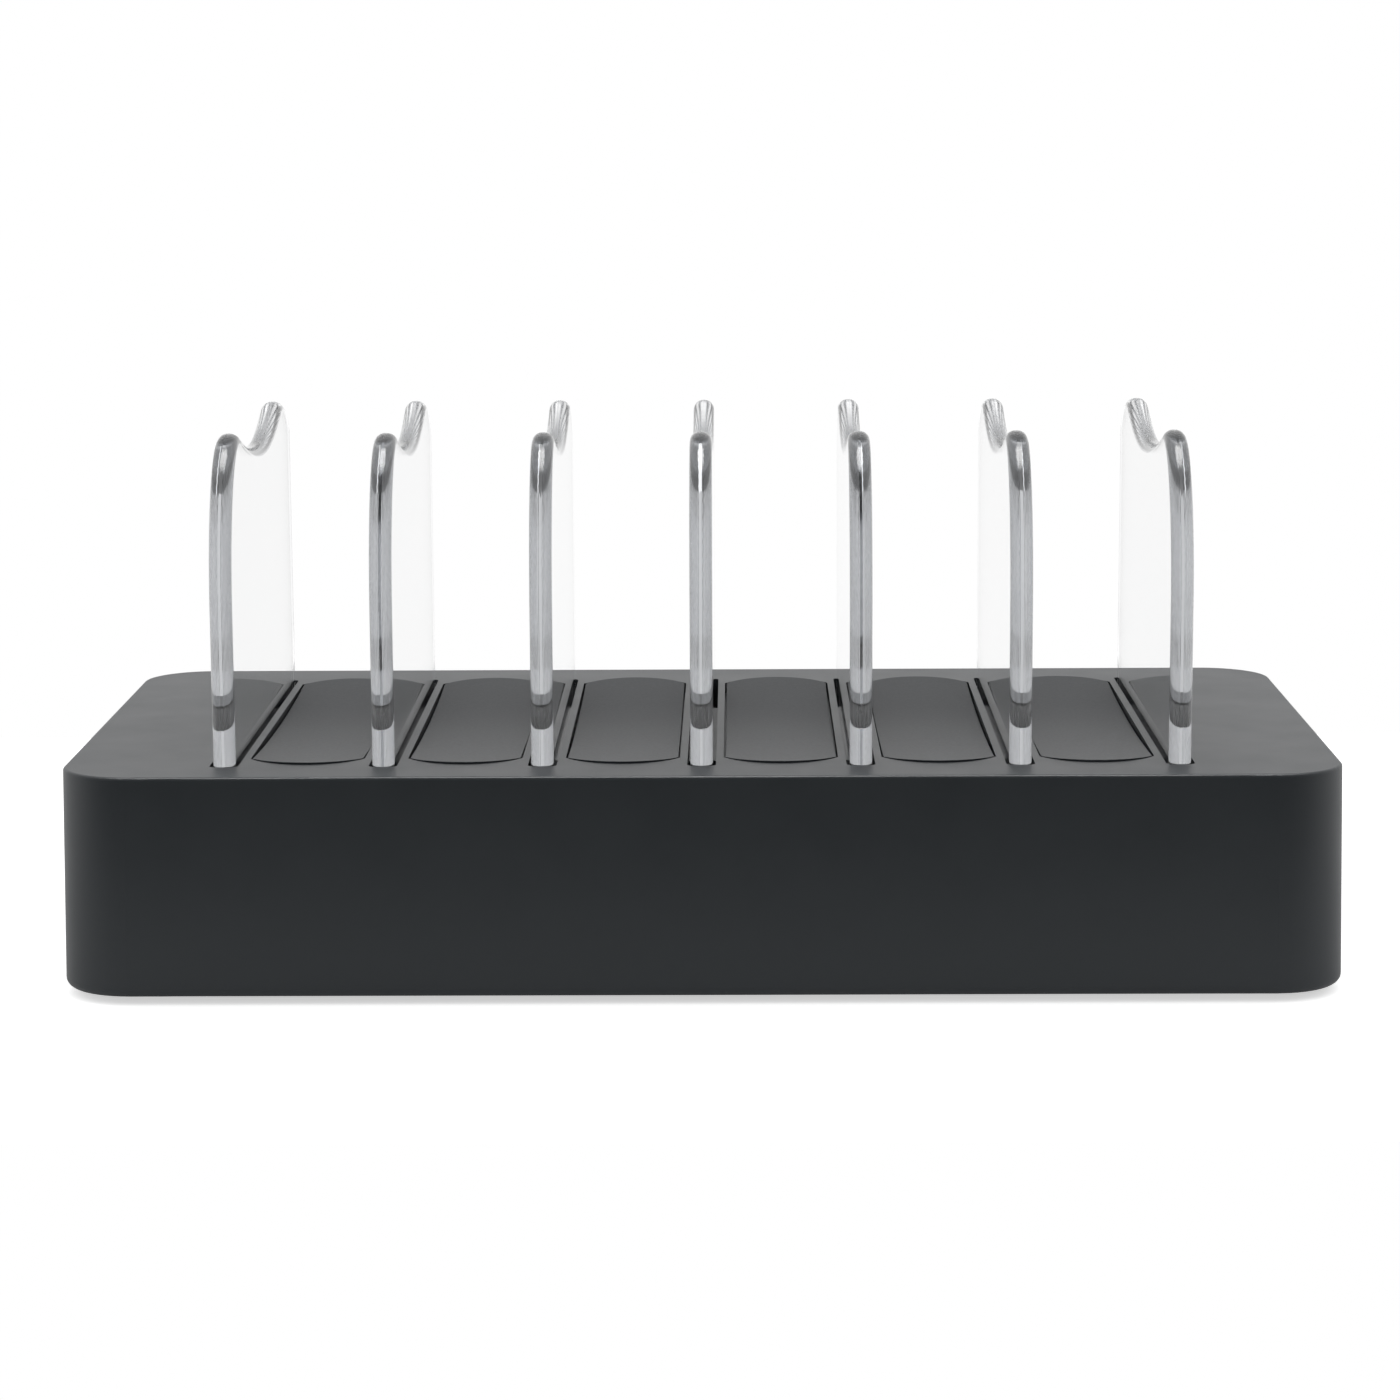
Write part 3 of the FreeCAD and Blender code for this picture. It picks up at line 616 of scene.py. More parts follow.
# The board is glossy green; tape and sleeves on it show their turns and shrink rings
BOARD = CircuitBoard("glass_fibre_solder_mask_green", "#0f3d22", 0.35, "#1a5a33")
TAPE = Banded("polyester_tape_yellow", "#d7b23a", 0.3, "#c39d2c", band_mm=2.5, bands=Direction.Y)
SLEEVE = Banded("sleeve_shrunk_black", "#191a1f", 0.32, "#22242b", band_mm=4.0, bands=Direction.Y)
# The sheet under the object melts into the white backdrop, apart from the painted close shadow; it is darker
# in the plates' edges, which is painted shade
SHEET = PaintedLightSheet("acrylic_sheet_white_satin", "#ececec", 0.0, painted_shade_colour="#8c8c8c")


# Making pieces


def new_piece(name: str, mesh: Mesh) -> Piece:
    """Put a mesh into the scene as an object at the origin.

    Args:
        name: name of the object.
        mesh: its mesh.

    Returns:
        The object.
    """
    piece = bpy.data.objects.new(name, mesh)
    bpy.context.scene.collection.objects.link(piece)
    return piece


def add_group(name: str, sizes: dict[str, str]) -> tuple[Tree, dict[str, Socket]]:
    """Start a Geometry Nodes tree with a geometry input and named sizes.

    Args:
        name: name of the tree.
        sizes: socket type by the name of the input.

    Returns:
        The tree, and the sockets of its inputs by name.
    """
    tree = bpy.data.node_groups.new(name, "GeometryNodeTree")
    shape = "NodeSocketGeometry"
    for label, kind in ({"Geometry": shape} | sizes).items():
        tree.interface.new_socket(label, in_out="INPUT", socket_type=kind)
    tree.interface.new_socket("Geometry", in_out="OUTPUT", socket_type=shape)
    return tree, {socket.name: socket for socket in add_node(tree, "NodeGroupInput")}


def end_group(tree: Tree, geometry: Socket, material: Material) -> None:
    """Close a tree with Realize Instances and Set Material.

    Args:
        tree: the tree.
        geometry: socket of the finished geometry.
        material: what the geometry is made of.
    """
    real = add_node(tree, "GeometryNodeRealizeInstances", {"Geometry": geometry})[0]
    dressed = add_node(tree, "GeometryNodeSetMaterial", {"Geometry": real, "Material": material})[0]
    add_node(tree, "NodeGroupOutput", {"Geometry": dressed})


def grow(name: str, tree: Tree, values: dict[str, Any], seed_mesh: Mesh | None = None, rounding: float = 0.0,
         steps: int = 14) -> Piece:
    """Run a Geometry Nodes tree and keep its result as a plain mesh.

    Args:
        name: name of the piece.
        tree: the tree.
        values: value by the name of the tree's input.
        seed_mesh: mesh that the tree starts from, if it needs one.
        rounding: radius for the edges that the tree marks with a bevel weight.
        steps: faces across such a rounded edge.

    Returns:
        The piece, at the origin, with no modifier left.
    """
    piece = new_piece(name, seed_mesh or bpy.data.meshes.new(name))
    nodes = piece.modifiers.new("shape", "NODES")
    nodes.node_group = tree
    for item in tree.interface.items_tree:
        if item.in_out == "INPUT" and item.name in values:
            nodes[item.identifier] = values[item.name]
    if rounding:
        bevel = piece.modifiers.new("edges", "BEVEL")
        bevel.limit_method = "WEIGHT"
        bevel.width = rounding
        bevel.segments = steps
        bevel.harden_normals = True
    depsgraph = bpy.context.evaluated_depsgraph_get()
    mesh = bpy.data.meshes.new_from_object(piece.evaluated_get(depsgraph), depsgraph=depsgraph)
    piece.modifiers.clear()
    seed = piece.data
    piece.data = mesh
    mesh.name = name
    if BEVEL_MARK in mesh.attributes:
        mesh.attributes.remove(mesh.attributes[BEVEL_MARK])
    bpy.data.meshes.remove(seed)
    return piece


def seat(piece: Piece, body: str, slot: str, *nodes: str) -> None:
    """Let a piece ride on a body in place of its construction nodes.

    Args:
        piece: the finished piece.
        body: body that carries it.
        slot: the record's material slot; not used.
        nodes: construction nodes that it stands for.
    """
    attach(piece, body)
    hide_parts(*nodes)
    log.info("%s: %d faces, rides on %s", piece.name, len(piece.data.polygons), body)


def dress(material: Material, *nodes: str) -> None:
    """Give construction nodes a finish.

    Args:
        material: the finish.
        nodes: names of the nodes.
    """
    for name in nodes:
        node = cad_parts[name]
        node.data.materials.clear()
        node.data.materials.append(material)
        log.info("%s: %s", name, material.name)


# Sub-assemblies


@dataclass(frozen=True)
class PlateEnd:
    """One end of a divider, from its tab in the slot to the dip between the horns.

    Fields:
        name: what the tree's inputs for this end start with.
        side: -1 at the front, 1 at the back.
        horn_inset_mm: distance of the horn's tip from the end of the plate.
        shoulder_rise_mm: height of the rounded shoulder below the tip.
    """

    name: str
    side: int
    horn_inset_mm: float
    shoulder_rise_mm: float


@dataclass
class Dividers:
    """Seven clear plates, each on a body of its own, that stand in slots and lift out.

    Fields:
        ends: front end, with its long swept shoulder, and back end.
        rise_mm: height of the tips above the base.
        groove_mm: depth of the lower face between the tabs below the base's top.
        tab_mm: length of a tab.
        horn_radius_mm: radius on the inner side of a horn.
        dip_mm: depth of the dip between the horns.
        dip_offset_mm: how far behind the middle of the plate the dip is lowest.
        edge_mm: radius of the edges.
        lift_mm: air under the plate, so that light sees its lower faces.
        steps: segments of each round stretch of the outline.
    """

    ends: tuple[PlateEnd, PlateEnd] = (PlateEnd("Front", -1, 13.2, 22.0), PlateEnd("Back", 1, 10.0, 6.0))
    rise_mm: float = 42.85
    groove_mm: float = 1.8
    tab_mm: float = 14.0
    horn_radius_mm: float = 5.0
    dip_mm: float = 4.1
    dip_offset_mm: float = 4.0
    edge_mm: float = 1.35
    lift_mm: float = 0.03
    steps: int = 40

    SHARED = ("Tab floor", "Belly", "Horn radius", "Horn centre", "Dip place")
    BY_END = ("End", "Tip", "Shoulder", "Width", "Rise", "Lean", "Tab end", "Dip radius", "Dip centre")

    def end_tree(self) -> Tree:
        """Build the tree that draws one end of a plate's outline, flat, with X along the plate and Y up.

        Returns:
            The tree, whose result is a set of curves that meet end to end.
        """
        tree, size = add_group("divider_end", dict.fromkeys(self.SHARED + self.BY_END, NUMBER))
        corners = {
            "shoulder": ("End", "Shoulder"), "toe": ("End", "Tab floor"), "heel": ("Tab end", "Tab floor"),
            "belly": ("Tab end", "Belly"), "sweep": ("Tip", "Shoulder"), "stretch": ("Width", "Rise"),
            "horn": ("Tip", "Horn centre"), "dip": ("Dip place", "Dip centre")}
        at = {label: add_node(tree, COMBINE, {0: size[across], 1: size[up]})[0]
              for label, (across, up) in corners.items()}
        stretches = []
        for start, end in (("shoulder", "toe"), ("toe", "heel"), ("heel", "belly")):
            stretches.append(add_node(tree, LINE, {"Start": at[start], "End": at[end]})["Curve"])
        # Radius, first angle, sweep, centre and scale of the shoulder, the horn's inner side and the dip
        arcs = ((1.0, 0.0, QUARTER, at["sweep"], at["stretch"]),
                (size["Horn radius"], QUARTER, size["Lean"], at["horn"], (1.0, 1.0, 1.0)),
                (size["Dip radius"], -QUARTER, size["Lean"], at["dip"], (1.0, 1.0, 1.0)))
        for radius, first, sweep, centre, scale in arcs:
            turn = {"Resolution": self.steps, "Radius": radius, "Start Angle": first, "Sweep Angle": sweep}
            arc = add_node(tree, "GeometryNodeCurveArc", turn, mode="RADIUS")["Curve"]
            placed = add_node(tree, MOVE, {"Geometry": arc, "Translation": centre, "Scale": scale})
            stretches.append(placed["Geometry"])
        joined = add_node(tree, JOIN, {"Geometry": stretches})
        add_node(tree, "NodeGroupOutput", {"Geometry": joined["Geometry"]})
        return tree

    def plate_tree(self, material: Material) -> Tree:
        """Build the tree that closes the outline of a plate and gives it thickness.

        Args:
            material: clear acrylic.

        Returns:
            The tree, with the plate's sizes as named inputs.
        """
        labels = [*self.SHARED, *[f"{end.name} {label}" for end in self.ends for label in self.BY_END]]
        tree, size = add_group("divider_plate", dict.fromkeys([*labels, "Thickness", "Middle"], NUMBER))
        add = partial(add_node, tree)
        end_tree = self.end_tree()
        stretches, heels = [], []
        for end in self.ends:
            inputs = {label: size[label] for label in self.SHARED}
            inputs |= {label: size[f"{end.name} {label}"] for label in self.BY_END}
            stretches.append(add("GeometryNodeGroup", inputs, node_tree=end_tree)["Geometry"])
            heels.append(add(COMBINE, {0: inputs["Tab end"], 1: size["Belly"]})[0])
        stretches.append(add(LINE, {"Start": heels[0], "End": heels[1]})["Curve"])
        joined = add(JOIN, {"Geometry": stretches})["Geometry"]
        wires = add("GeometryNodeCurveToMesh", {"Curve": joined})["Mesh"]
        closed = add(MERGE, {"Geometry": wires, "Distance": 2 * TINY})["Geometry"]
        outline = add("GeometryNodeMeshToCurve", {"Mesh": closed})["Curve"]
        face = add("GeometryNodeFillCurve", {"Curve": outline}, mode="NGONS")["Mesh"]
        thick = {"Mesh": face, "Offset": UP, "Offset Scale": size["Thickness"], "Individual": False}
        grown = add(EXTRUDE, thick, mode="FACES")["Mesh"]
        under = add(FLIP, {"Mesh": face})["Mesh"]
        both = add(JOIN, {"Geometry": [grown, under]})["Geometry"]
        solid = add(MERGE, {"Geometry": both, "Distance": 2 * TINY})["Geometry"]

        # Every edge round a side face is rounded, apart from those of the tabs and the face between them
        ends = add("GeometryNodeInputMeshEdgeVertices")
        first, second = [add(SPLIT, {0: ends[f"Position {number}"]}) for number in (1, 2)]
        level = {"A": first["Z"], "B": second["Z"], "Epsilon": TINY}
        on_side = add(COMPARE, level, operation="EQUAL")[0]
        higher = add(MATH, {0: first["Y"], 1: second["Y"]}, operation="MAXIMUM")[0]
        spare = add(MATH, {0: size["Belly"], 1: TINY}, operation="ADD")[0]
        is_low = add(COMPARE, {"A": higher, "B": spare}, operation="LESS_THAN")[0]
        rim = add("FunctionNodeBooleanMath", {0: on_side, 1: is_low}, operation="NIMPLY")[0]
        mark = {"Geometry": solid, "Name": BEVEL_MARK, "Value": rim}
        shape = add(STORE, mark, data_type="FLOAT", domain="EDGE")["Geometry"]
        shape = add(SMOOTH, {"Geometry": shape, "Shade Smooth": True}, domain="FACE")["Geometry"]
        crease = {"Geometry": shape, "Selection": is_low, "Shade Smooth": False}
        shape = add(SMOOTH, crease, domain="EDGE")["Geometry"]
        half_back = {0: size["Thickness"], 1: -0.5, 2: size["Middle"]}
        left = add(MATH, half_back, operation="MULTIPLY_ADD")[0]
        place = add(COMBINE, {0: left})[0]
        stand = {"Geometry": shape, "Translation": place, "Rotation": (QUARTER, 0.0, QUARTER)}
        end_group(tree, add(MOVE, stand)["Geometry"], material)
        return tree

    def sizes(self, node: str) -> dict[str, float]:
        """Work out a plate's inputs from its construction node.

        Args:
            node: name of the divider.

        Returns:
            Value by the name of the tree's input, in metres and radians.
        """
        low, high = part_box(node)
        dip_place = (low.y + high.y) / 2 + self.dip_offset_mm * MM
        dip, horn = self.dip_mm * MM, self.horn_radius_mm * MM
        values = {
            "Tab floor": low.z + self.lift_mm * MM, "Belly": high.z - (self.rise_mm + self.groove_mm) * MM,
            "Horn radius": horn, "Horn centre": high.z - horn, "Dip place": dip_place,
            "Thickness": high.x - low.x, "Middle": (low.x + high.x) / 2}
        for end in self.ends:
            place = low.y if end.side < 0 else high.y
            width, rise = end.side * end.horn_inset_mm * MM, end.shoulder_rise_mm * MM
            tip = place - width
            reach = abs(tip - dip_place)
            # The horn's inner side and the dip meet as two arcs with one tangent
            radii = (reach ** 2 + dip ** 2) / (2 * dip)
            by_end = {
                "End": place, "Tip": tip, "Shoulder": high.z - rise, "Width": width, "Rise": rise,
                "Lean": end.side * math.asin(reach / radii), "Tab end": place - end.side * self.tab_mm * MM,
                "Dip radius": radii - horn, "Dip centre": high.z - dip + radii - horn}
            values |= {f"{end.name} {label}": by_end[label] for label in self.BY_END}
        return values

    def build(self, material: Material) -> None:
        """Make the plates and seat each on its own body.

        Args:
            material: clear acrylic.
        """
        tree = self.plate_tree(material)
        for number in PLATES:
            name = f"divider_{number}"
            plate = grow(f"clear_{name}", tree, self.sizes(name), rounding=self.edge_mm * MM)
            seat(plate, name, "clear_acrylic", name)


@dataclass
class Pads:
    """Six rubber inlays with arched ends, in the recesses between the dividers, each dished along its length.

    Fields:
        end_radius_mm: radius of an arched end in plan.
        edge_mm: width of the softened upper edge.
        dish_mm: how far the middle of the top lies below its front and back.
        rows: steps along a pad, closest near its ends.
        reach: share of the length that the rows cover, so that the last row keeps some width.
        crisp: angle between two faces from which the edge between them stays crisp.
    """

    end_radius_mm: float = 8.5
    edge_mm: float = 0.05
    dish_mm: float = 1.0
    rows: int = 96
    reach: float = 0.9995
    crisp: float = QUARTER / 3

    def plan(self, tree: Tree, spot: Socket, size: dict[str, Socket], inset: Socket | float) -> list[Socket]:
        """Work out where a point of the grid lies in a pad's plan.

        Args:
            tree: tree that takes the nodes.
            spot: the point in the grid, from -1 to 1 each way.
            size: sockets of the pad's sizes.
            inset: how far the outline is drawn in.

        Returns:
            Place across and along the pad.
        """
        half_width, half_length, radius = [
            add_node(tree, MATH, {0: size[label], 1: inset}, operation="SUBTRACT")[0]
            for label in ("Half width", "Half length", "End radius")]
        column, row, _ = add_node(tree, SPLIT, {0: spot})
        straight = add_node(tree, MATH, {0: half_length, 1: radius}, operation="SUBTRACT")[0]
        # Rows bunch up at the ends as a sine does, where the outline turns
        along = row
        steps = (("MULTIPLY", QUARTER), ("SINE", 0.0), ("MULTIPLY", self.reach), ("MULTIPLY", half_length))
        for operation, other in steps:
            along = add_node(tree, MATH, {0: along, 1: other}, operation=operation)[0]
        # Half the width is full along the straight sides, and follows a circle in the arched ends
        across = along
        steps = (("ABSOLUTE", 0.0), ("SUBTRACT", straight), ("MAXIMUM", 0.0), ("DIVIDE", radius),
                 ("ARCSINE", 0.0), ("COSINE", 0.0), ("MULTIPLY", radius), ("MINIMUM", half_width),
                 ("MULTIPLY", column))
        for operation, other in steps:
            across = add_node(tree, MATH, {0: across, 1: other}, operation=operation)[0]
        return [across, along]

    def pad_tree(self, material: Material) -> Tree:
        """Build the tree that shapes a pad from a grid, with its thickness, soft upper edge and dish.

        Args:
            material: silicone rubber.

        Returns:
            The tree, with the pad's sizes as named inputs.
        """
        labels = ("Half width", "Half length", "Thickness", "End radius", "Edge", "Dish")
        tree, size = add_group("rubber_pad", dict.fromkeys(labels, NUMBER) | {"Middle": PLACE})
        add = partial(add_node, tree)
        cells = {"Size X": 2.0, "Size Y": 2.0, "Vertices X": 3, "Vertices Y": self.rows + 1}
        grid = add(GRID, cells)["Mesh"]
        place = add("GeometryNodeInputPosition")["Position"]
        mark = {"Geometry": grid, "Name": GRID_MARK, "Value": place}
        known = add(STORE, mark, data_type="FLOAT_VECTOR", domain="POINT")["Geometry"]
        spot = add("GeometryNodeInputNamedAttribute", {"Name": GRID_MARK}, data_type="FLOAT_VECTOR")[0]
        foot = add(COMBINE, dict(enumerate(self.plan(tree, spot, size, 0.0))))[0]
        outline = add(SET_PLACE, {"Geometry": known, "Position": foot})["Geometry"]
        wall = add(MATH, {0: size["Thickness"], 1: size["Edge"]}, operation="SUBTRACT")[0]
        rise = {"Mesh": outline, "Offset": UP, "Offset Scale": wall, "Individual": False}
        walls = add(EXTRUDE, rise, mode="FACES")
        rise |= {"Mesh": walls["Mesh"], "Selection": walls["Top"], "Offset Scale": size["Edge"]}
        edged = add(EXTRUDE, rise, mode="FACES")
        top = [*self.plan(tree, spot, size, size["Edge"]), size["Thickness"]]
        head = add(COMBINE, dict(enumerate(top)))[0]
        cap = {"Geometry": edged["Mesh"], "Selection": edged["Top"], "Position": head}
        capped = add(SET_PLACE, cap)["Geometry"]
        under = add(FLIP, {"Mesh": outline})["Mesh"]
        both = add(JOIN, {"Geometry": [capped, under]})["Geometry"]
        shape = add(MERGE, {"Geometry": both, "Distance": TINY})["Geometry"]

        # Edges between walls, softened edge, top and underside stay crisp
        bend = add("GeometryNodeInputMeshEdgeAngle")["Unsigned Angle"]
        is_crisp = add(COMPARE, {"A": bend, "B": self.crisp}, operation="GREATER_THAN")[0]
        shape = add(SMOOTH, {"Geometry": shape, "Shade Smooth": True}, domain="FACE")["Geometry"]
        crease = {"Geometry": shape, "Selection": is_crisp, "Shade Smooth": False}
        shape = add(SMOOTH, crease, domain="EDGE")["Geometry"]

        # The dish is a parabola along the pad
        _, sink, height = add(SPLIT, {0: place})
        is_top = add(COMPARE, {"A": height, "B": TINY}, operation="GREATER_THAN")[0]
        steps = (("DIVIDE", size["Half length"]), ("POWER", 2.0), ("SUBTRACT", 1.0),
                 ("MULTIPLY", size["Dish"]))
        for operation, other in steps:
            sink = add(MATH, {0: sink, 1: other}, operation=operation)[0]
        down = add(COMBINE, {2: sink})[0]
        shape = add(SET_PLACE, {"Geometry": shape, "Selection": is_top, "Offset": down})["Geometry"]
        plain = add("GeometryNodeRemoveAttribute", {"Geometry": shape, "Name": GRID_MARK})["Geometry"]
        placed = add(MOVE, {"Geometry": plain, "Translation": size["Middle"]})["Geometry"]
        end_group(tree, placed, material)
        return tree

    def build(self, material: Material) -> None:
        """Make the pads and seat them in the base.

        Args:
            material: silicone rubber.
        """
        tree = self.pad_tree(material)
        for number in BAYS:
            node = f"pad_{number}"
            low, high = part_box(node)
            values = {
                "Half width": (high.x - low.x) / 2, "Half length": (high.y - low.y) / 2,
                "Thickness": high.z - low.z, "End radius": self.end_radius_mm * MM, "Edge": self.edge_mm * MM,
                "Dish": self.dish_mm * MM, "Middle": ((low.x + high.x) / 2, (low.y + high.y) / 2, low.z)}
            seat(grow(f"rubber_{node}", tree, values), BASE, "pad_rubber", node)


@dataclass
class Housing:
    """The moulded base: its shell, its cover and the screws and feet under it.

    Fields:
        foot_mm: diameter of a foot.
        foot_edge_mm: radius of its lower edge.
        foot_edge_steps: segments of that radius.
        foot_hollow_mm: depth of the shallow cup in its sole, which grips the table.
        foot_rim_mm: width of the ring round that cup.
        screw_head_mm: diameter of a countersunk head.
        head_height_mm: height of its cone.
        shank_mm: diameter of the thread.
        cross_mm: span of the cross recess.
        cross_slot_mm: width of each slot of the cross.
        cross_depth_mm: depth of the cross.
        turns: segments round a turned piece.
    """

    foot_mm: float = 11.0
    foot_edge_mm: float = 0.4
    foot_edge_steps: int = 4
    foot_hollow_mm: float = 0.25
    foot_rim_mm: float = 1.8
    screw_head_mm: float = 5.4
    head_height_mm: float = 1.6
    shank_mm: float = 2.6
    cross_mm: float = 3.2
    cross_slot_mm: float = 0.75
    cross_depth_mm: float = 0.9
    turns: int = 48

    def turned(self, name: str, profile: list[Span]) -> Mesh:
        """Spin a profile round Z.

        Args:
            name: name of the mesh.
            profile: radius and height of its points in millimetres, from axis to axis.

        Returns:
            The closed mesh, with its faces outward.
        """
        shape = bmesh.new()
        points = [shape.verts.new((radius * MM, 0.0, height * MM)) for radius, height in profile]
        edges = [shape.edges.new(pair) for pair in zip(points, points[1:])]
        bmesh.ops.spin(shape, geom=points + edges, axis=(0, 0, 1), cent=(0, 0, 0), angle=math.tau,
                       steps=self.turns, use_merge=True)
        bmesh.ops.remove_doubles(shape, verts=shape.verts, dist=TINY)
        bmesh.ops.recalc_face_normals(shape, faces=shape.faces)
        mesh = bpy.data.meshes.new(name)
        shape.to_mesh(mesh)
        shape.free()
        return mesh

    def copies_tree(self, name: str, material: Material) -> Tree:
        """Build the tree that sets a shape at the four corners of a rectangle.

        Args:
            name: name of the tree.
            material: what the shape is made of.

        Returns:
            The tree, with the rectangle's sides and middle as named inputs.
        """
        tree, size = add_group(name, {"Width": NUMBER, "Depth": NUMBER, "Middle": PLACE})
        sides = {"Size X": size["Width"], "Size Y": size["Depth"], "Vertices X": 2, "Vertices Y": 2}
        corners = {"Points": add_node(tree, GRID, sides)["Mesh"], "Instance": size["Geometry"]}
        copies = add_node(tree, "GeometryNodeInstanceOnPoints", corners)["Instances"]
        placed = add_node(tree, MOVE, {"Geometry": copies, "Translation": size["Middle"]})["Geometry"]
        end_group(tree, placed, material)
        return tree

    def corner_values(self, node: str, diameter_mm: float) -> dict[str, Any]:
        """Work out where four round pieces stand from their common box.

        Args:
            node: the construction node that holds them.
            diameter_mm: diameter of one of them.

        Returns:
            Value by the name of the tree's input.
        """
        low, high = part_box(node)
        return {"Width": high.x - low.x - diameter_mm * MM, "Depth": high.y - low.y - diameter_mm * MM,
                "Middle": ((low.x + high.x) / 2, (low.y + high.y) / 2, low.z)}

    def feet(self, material: Material) -> None:
        """Mould the feet: round edges below, and a shallow cup in the sole.

        Args:
            material: rubber.
        """
        low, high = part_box("rubber_feet")
        tall = (high.z - low.z) / MM
        radius, edge, hollow = self.foot_mm / 2, self.foot_edge_mm, self.foot_hollow_mm
        cup = radius - self.foot_rim_mm
        profile = [(0.0, hollow), (cup - hollow, hollow), (cup, 0.0)]
        for step in range(self.foot_edge_steps + 1):
            turn = QUARTER * step / self.foot_edge_steps
            profile.append((radius - edge + edge * math.sin(turn), edge - edge * math.cos(turn)))
        profile += [(radius, tall), (0.0, tall)]
        tree = self.copies_tree("four_feet", material)
        seed = self.turned("foot", profile)
        piece = grow("moulded_feet", tree, self.corner_values("rubber_feet", self.foot_mm), seed)
        seat(piece, BASE, "foot_rubber", "rubber_feet")

    def screws(self, material: Material) -> None:
        """Turn the countersunk screws that close the case and press a cross into their heads.

        Args:
            material: zinc-plated steel.
        """
        low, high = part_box("case_screws")
        tall = (high.z - low.z) / MM
        head, shank = self.screw_head_mm / 2, self.shank_mm / 2
        profile = [(0.0, 0.0), (head, 0.0), (shank, self.head_height_mm), (shank, tall - shank), (0.0, tall)]
        screw = new_piece("screw", self.turned("screw", profile))
        cutter = bmesh.new()
        for span in ((self.cross_mm, self.cross_slot_mm), (self.cross_slot_mm, self.cross_mm)):
            made = bmesh.ops.create_cube(cutter, size=1.0)["verts"]
            bmesh.ops.scale(cutter, verts=made, vec=Vector((*span, 2 * self.cross_depth_mm)) * MM)
        cross_mesh = bpy.data.meshes.new("cross")
        cutter.to_mesh(cross_mesh)
        cutter.free()
        cross = new_piece("cross", cross_mesh)
        cut = screw.modifiers.new("cross", "BOOLEAN")
        cut.object = cross
        cut.solver = "EXACT"
        cut.use_self = True
        depsgraph = bpy.context.evaluated_depsgraph_get()
        seed = bpy.data.meshes.new_from_object(screw.evaluated_get(depsgraph), depsgraph=depsgraph)
        for helper in (screw, cross):
            bpy.data.meshes.remove(helper.data)
        tree = self.copies_tree("four_screws", material)
        piece = grow("turned_case_screws", tree, self.corner_values("case_screws", self.screw_head_mm), seed)
        seat(piece, BASE, "screw_steel", "case_screws")

    def build(self) -> None:
        """Dress the shell and the cover, and make the screws and feet."""
        dress(HOUSING.build(), "top_shell")
        dress(COVER.build(), "bottom_cover")
        steel = SCREW.build()
        dress(steel, "board_screws")
        self.screws(steel)
        self.feet(FOOT.build())


@dataclass
class Sockets:
    """Six charging sockets in the back wall and the mains inlet in the right one."""

    def build(self) -> None:
        """Dress the sockets."""
        dress(SHELL.build(), *[f"usb_shell_{number}" for number in BAYS])
        dress(TONGUE.build(), *[f"usb_tongue_{number}" for number in BAYS])
        dress(GOLD.build(), "usb_contacts")
        dress(INLET.build(), "power_inlet")
        dress(PIN.build(), "inlet_pins")


@dataclass
class Supply:
    """The board inside the base and the parts on it."""

    def build(self) -> None:
        """Dress the board and its parts."""
        dress(BOARD.build(), "main_board")
        dress(FERRITE.build(), "transformer_core", "line_choke")
        dress(TAPE.build(), "transformer_winding")
        dress(SLEEVE.build(), "bulk_capacitor", "output_capacitors")
        dress(SINK.build(), "heat_sinks")
        dress(CHIP.build(), "charger_chips")


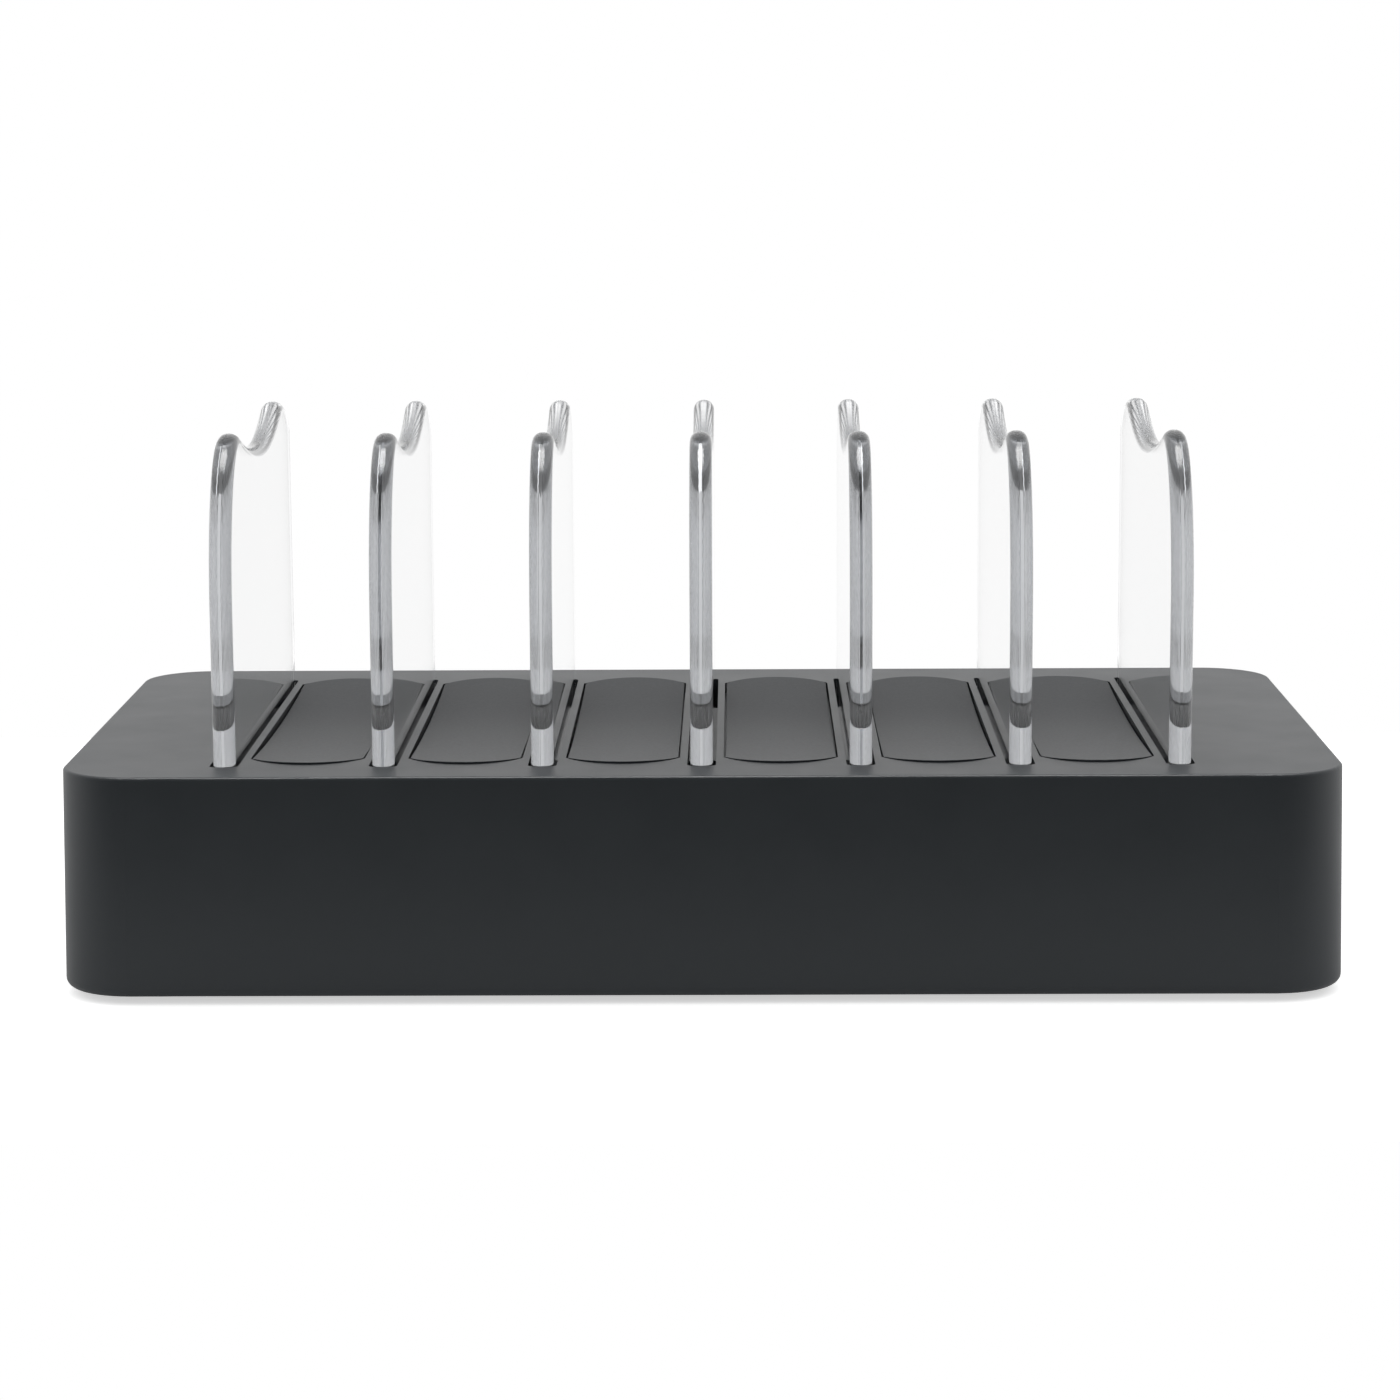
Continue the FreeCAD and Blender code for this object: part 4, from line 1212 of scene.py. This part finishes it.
@dataclass
class Studio:
    """White sheet, soft light and the camera of the photograph.

    The room's directions are given by the share of a step that goes to the right, to the back or up.

    Fields:
        camera_mm: place of the camera.
        pitch_deg: how far it looks down.
        turn_deg: how far it is turned to the left.
        roll_deg: how far it is rolled.
        lens_mm: focal length.
        sensor_mm: width of the sensor.
        clip_mm: nearest and farthest distance that it shows.
        sheet_mm: left, front, right and back end of the sheet that the object stands on.
        front_room: brightness of the room in front of the object; behind it is 1, and above nearly so.
        front_way: backward share of the directions between which the room turns from that to 1.
        under_room: share of that brightness that is left in front, below the sheet.
        under_way: backward or upward share of the directions between which that ends.
        under_slope: how much more the upward share counts there.
        panel: what a panel overhead adds to the room where a surface mirrors it.
        panel_way: upward share of the directions between which that panel begins.
        backdrop: brightness of the backdrop through the plates and, at the object's sides, in their edges;
            for the camera it is 1.
        side_way: sideways share of the directions between which it changes so.
        bounces: how often light may bounce or pass on its way, enough for seven plates in a row.
    """

    camera_mm: tuple[float, float, float] = (4.96, -533.98, 121.87)
    pitch_deg: float = 9.448
    turn_deg: float = 0.59
    roll_deg: float = -0.298
    lens_mm: float = 98.472
    sensor_mm: float = 36.0
    clip_mm: Span = (10.0, 10000.0)
    sheet_mm: tuple[float, float, float, float] = (-300.0, -110.0, 300.0, 158.0)
    front_room: float = 0.41
    front_way: Span = (-0.9, 0.3)
    under_room: float = 0.1
    under_way: Span = (-0.3, 0.0)
    under_slope: float = 4.0
    panel: float = 10.0
    panel_way: Span = (0.93, 0.99)
    backdrop: Span = (0.9, 0.65)
    side_way: Span = (0.2, 0.45)
    bounces: int = 32

    def place_camera(self) -> None:
        """Make the camera and look through it."""
        data = bpy.data.cameras.new("camera")
        data.lens = self.lens_mm
        data.sensor_width = self.sensor_mm
        data.clip_start, data.clip_end = [distance * MM for distance in self.clip_mm]
        camera = bpy.data.objects.new("camera", data)
        turn = Matrix.Rotation(math.radians(self.turn_deg), 4, "Z")
        tilt = Matrix.Rotation(math.radians(90 - self.pitch_deg), 4, "X")
        roll = Matrix.Rotation(math.radians(self.roll_deg), 4, "Z")
        camera.matrix_world = Matrix.Translation(Vector(self.camera_mm) * MM) @ turn @ tilt @ roll
        bpy.context.scene.collection.objects.link(camera)
        bpy.context.scene.camera = camera

    def lay_sheet(self) -> None:
        """Make the sheet."""
        left, front, right, back = [end * MM for end in self.sheet_mm]
        mesh = bpy.data.meshes.new("sheet")
        corners = [(left, front, 0), (right, front, 0), (right, back, 0), (left, back, 0)]
        mesh.from_pydata(corners, [], [(0, 1, 2, 3)])
        mesh.materials.append(SHEET.build())
        new_piece("sheet", mesh)

    def light(self) -> None:
        """Make the world: a white backdrop for the eye, and a softer room that lights the object."""
        world = bpy.data.worlds.new("studio")
        bpy.context.scene.world = world
        world.use_nodes = True
        tree = world.node_tree
        add = partial(add_node, tree)
        tree.nodes.clear()
        ray = add("ShaderNodeLightPath")
        x, y, z = add(SPLIT, {0: add("ShaderNodeTexCoord")["Generated"]})
        steep = add(MATH, {0: z, 1: self.under_slope}, operation="MULTIPLY")[0]
        most = add(MATH, {0: y, 1: steep}, operation="MAXIMUM")[0]
        bounced = add(MATH, {0: ray["Glossy Depth"], 1: ANY_BOUNCE}, operation="GREATER_THAN")[0]
        aside = add(MATH, {0: x}, operation="ABSOLUTE")[0]
        sideways = add(MATH, {0: aside, 1: bounced}, operation="MULTIPLY")[0]
        # The room is dimmer in front than behind and above, and dark in front below the sheet. The panel
        # shows only as gloss, on the rounded upper edge of the base and on the plates. Through the plates the
        # backdrop is almost white, but in their edges it is dimmer at the object's sides.
        levels = []
        for source, (start, end), (first, last), course in (
                (y, self.front_way, (self.front_room, 1.0), "SMOOTHSTEP"),
                (most, self.under_way, (self.under_room, 1.0), "LINEAR"),
                (z, self.panel_way, (0.0, self.panel), "SMOOTHSTEP"),
                (sideways, self.side_way, self.backdrop, "SMOOTHSTEP")):
            change = {"Value": source, "From Min": start, "From Max": end, "To Min": first, "To Max": last}
            levels.append(add(MAP_RANGE, change, interpolation_type=course)["Result"])
        room, under, panel, paper = levels
        level = add(MATH, {0: room, 1: under}, operation="MULTIPLY")[0]
        mirrored = {0: panel, 1: ray["Is Glossy Ray"], 2: level}
        soft = add(MATH, mirrored, operation="MULTIPLY_ADD")[0]
        through = add(MIX, {0: ray["Is Transmission Ray"], 2: soft, 3: paper})[0]
        seen = add(MIX, {0: ray["Is Camera Ray"], 2: through, 3: 1.0})[0]
        sky = add("ShaderNodeBackground", {"Color": WHITE, "Strength": seen})["Background"]
        add("ShaderNodeOutputWorld", {"Surface": sky})

    def build(self) -> None:
        """Make sheet, light and camera, and let light pass often enough through the plates."""
        scene = bpy.context.scene
        scene.view_settings.view_transform = "Standard"
        scene.cycles.max_bounces = self.bounces
        scene.cycles.glossy_bounces = self.bounces
        scene.cycles.transmission_bounces = self.bounces
        self.lay_sheet()
        self.light()
        self.place_camera()


def main() -> None:
    """Build the sub-assemblies in order."""
    logging.basicConfig(level=logging.INFO, format="%(name)s: %(message)s")
    Housing().build()
    Sockets().build()
    Supply().build()
    Pads().build(PAD.build())
    Dividers().build(ACRYLIC.build())
    Studio().build()


if __name__ == "__main__":
    main()
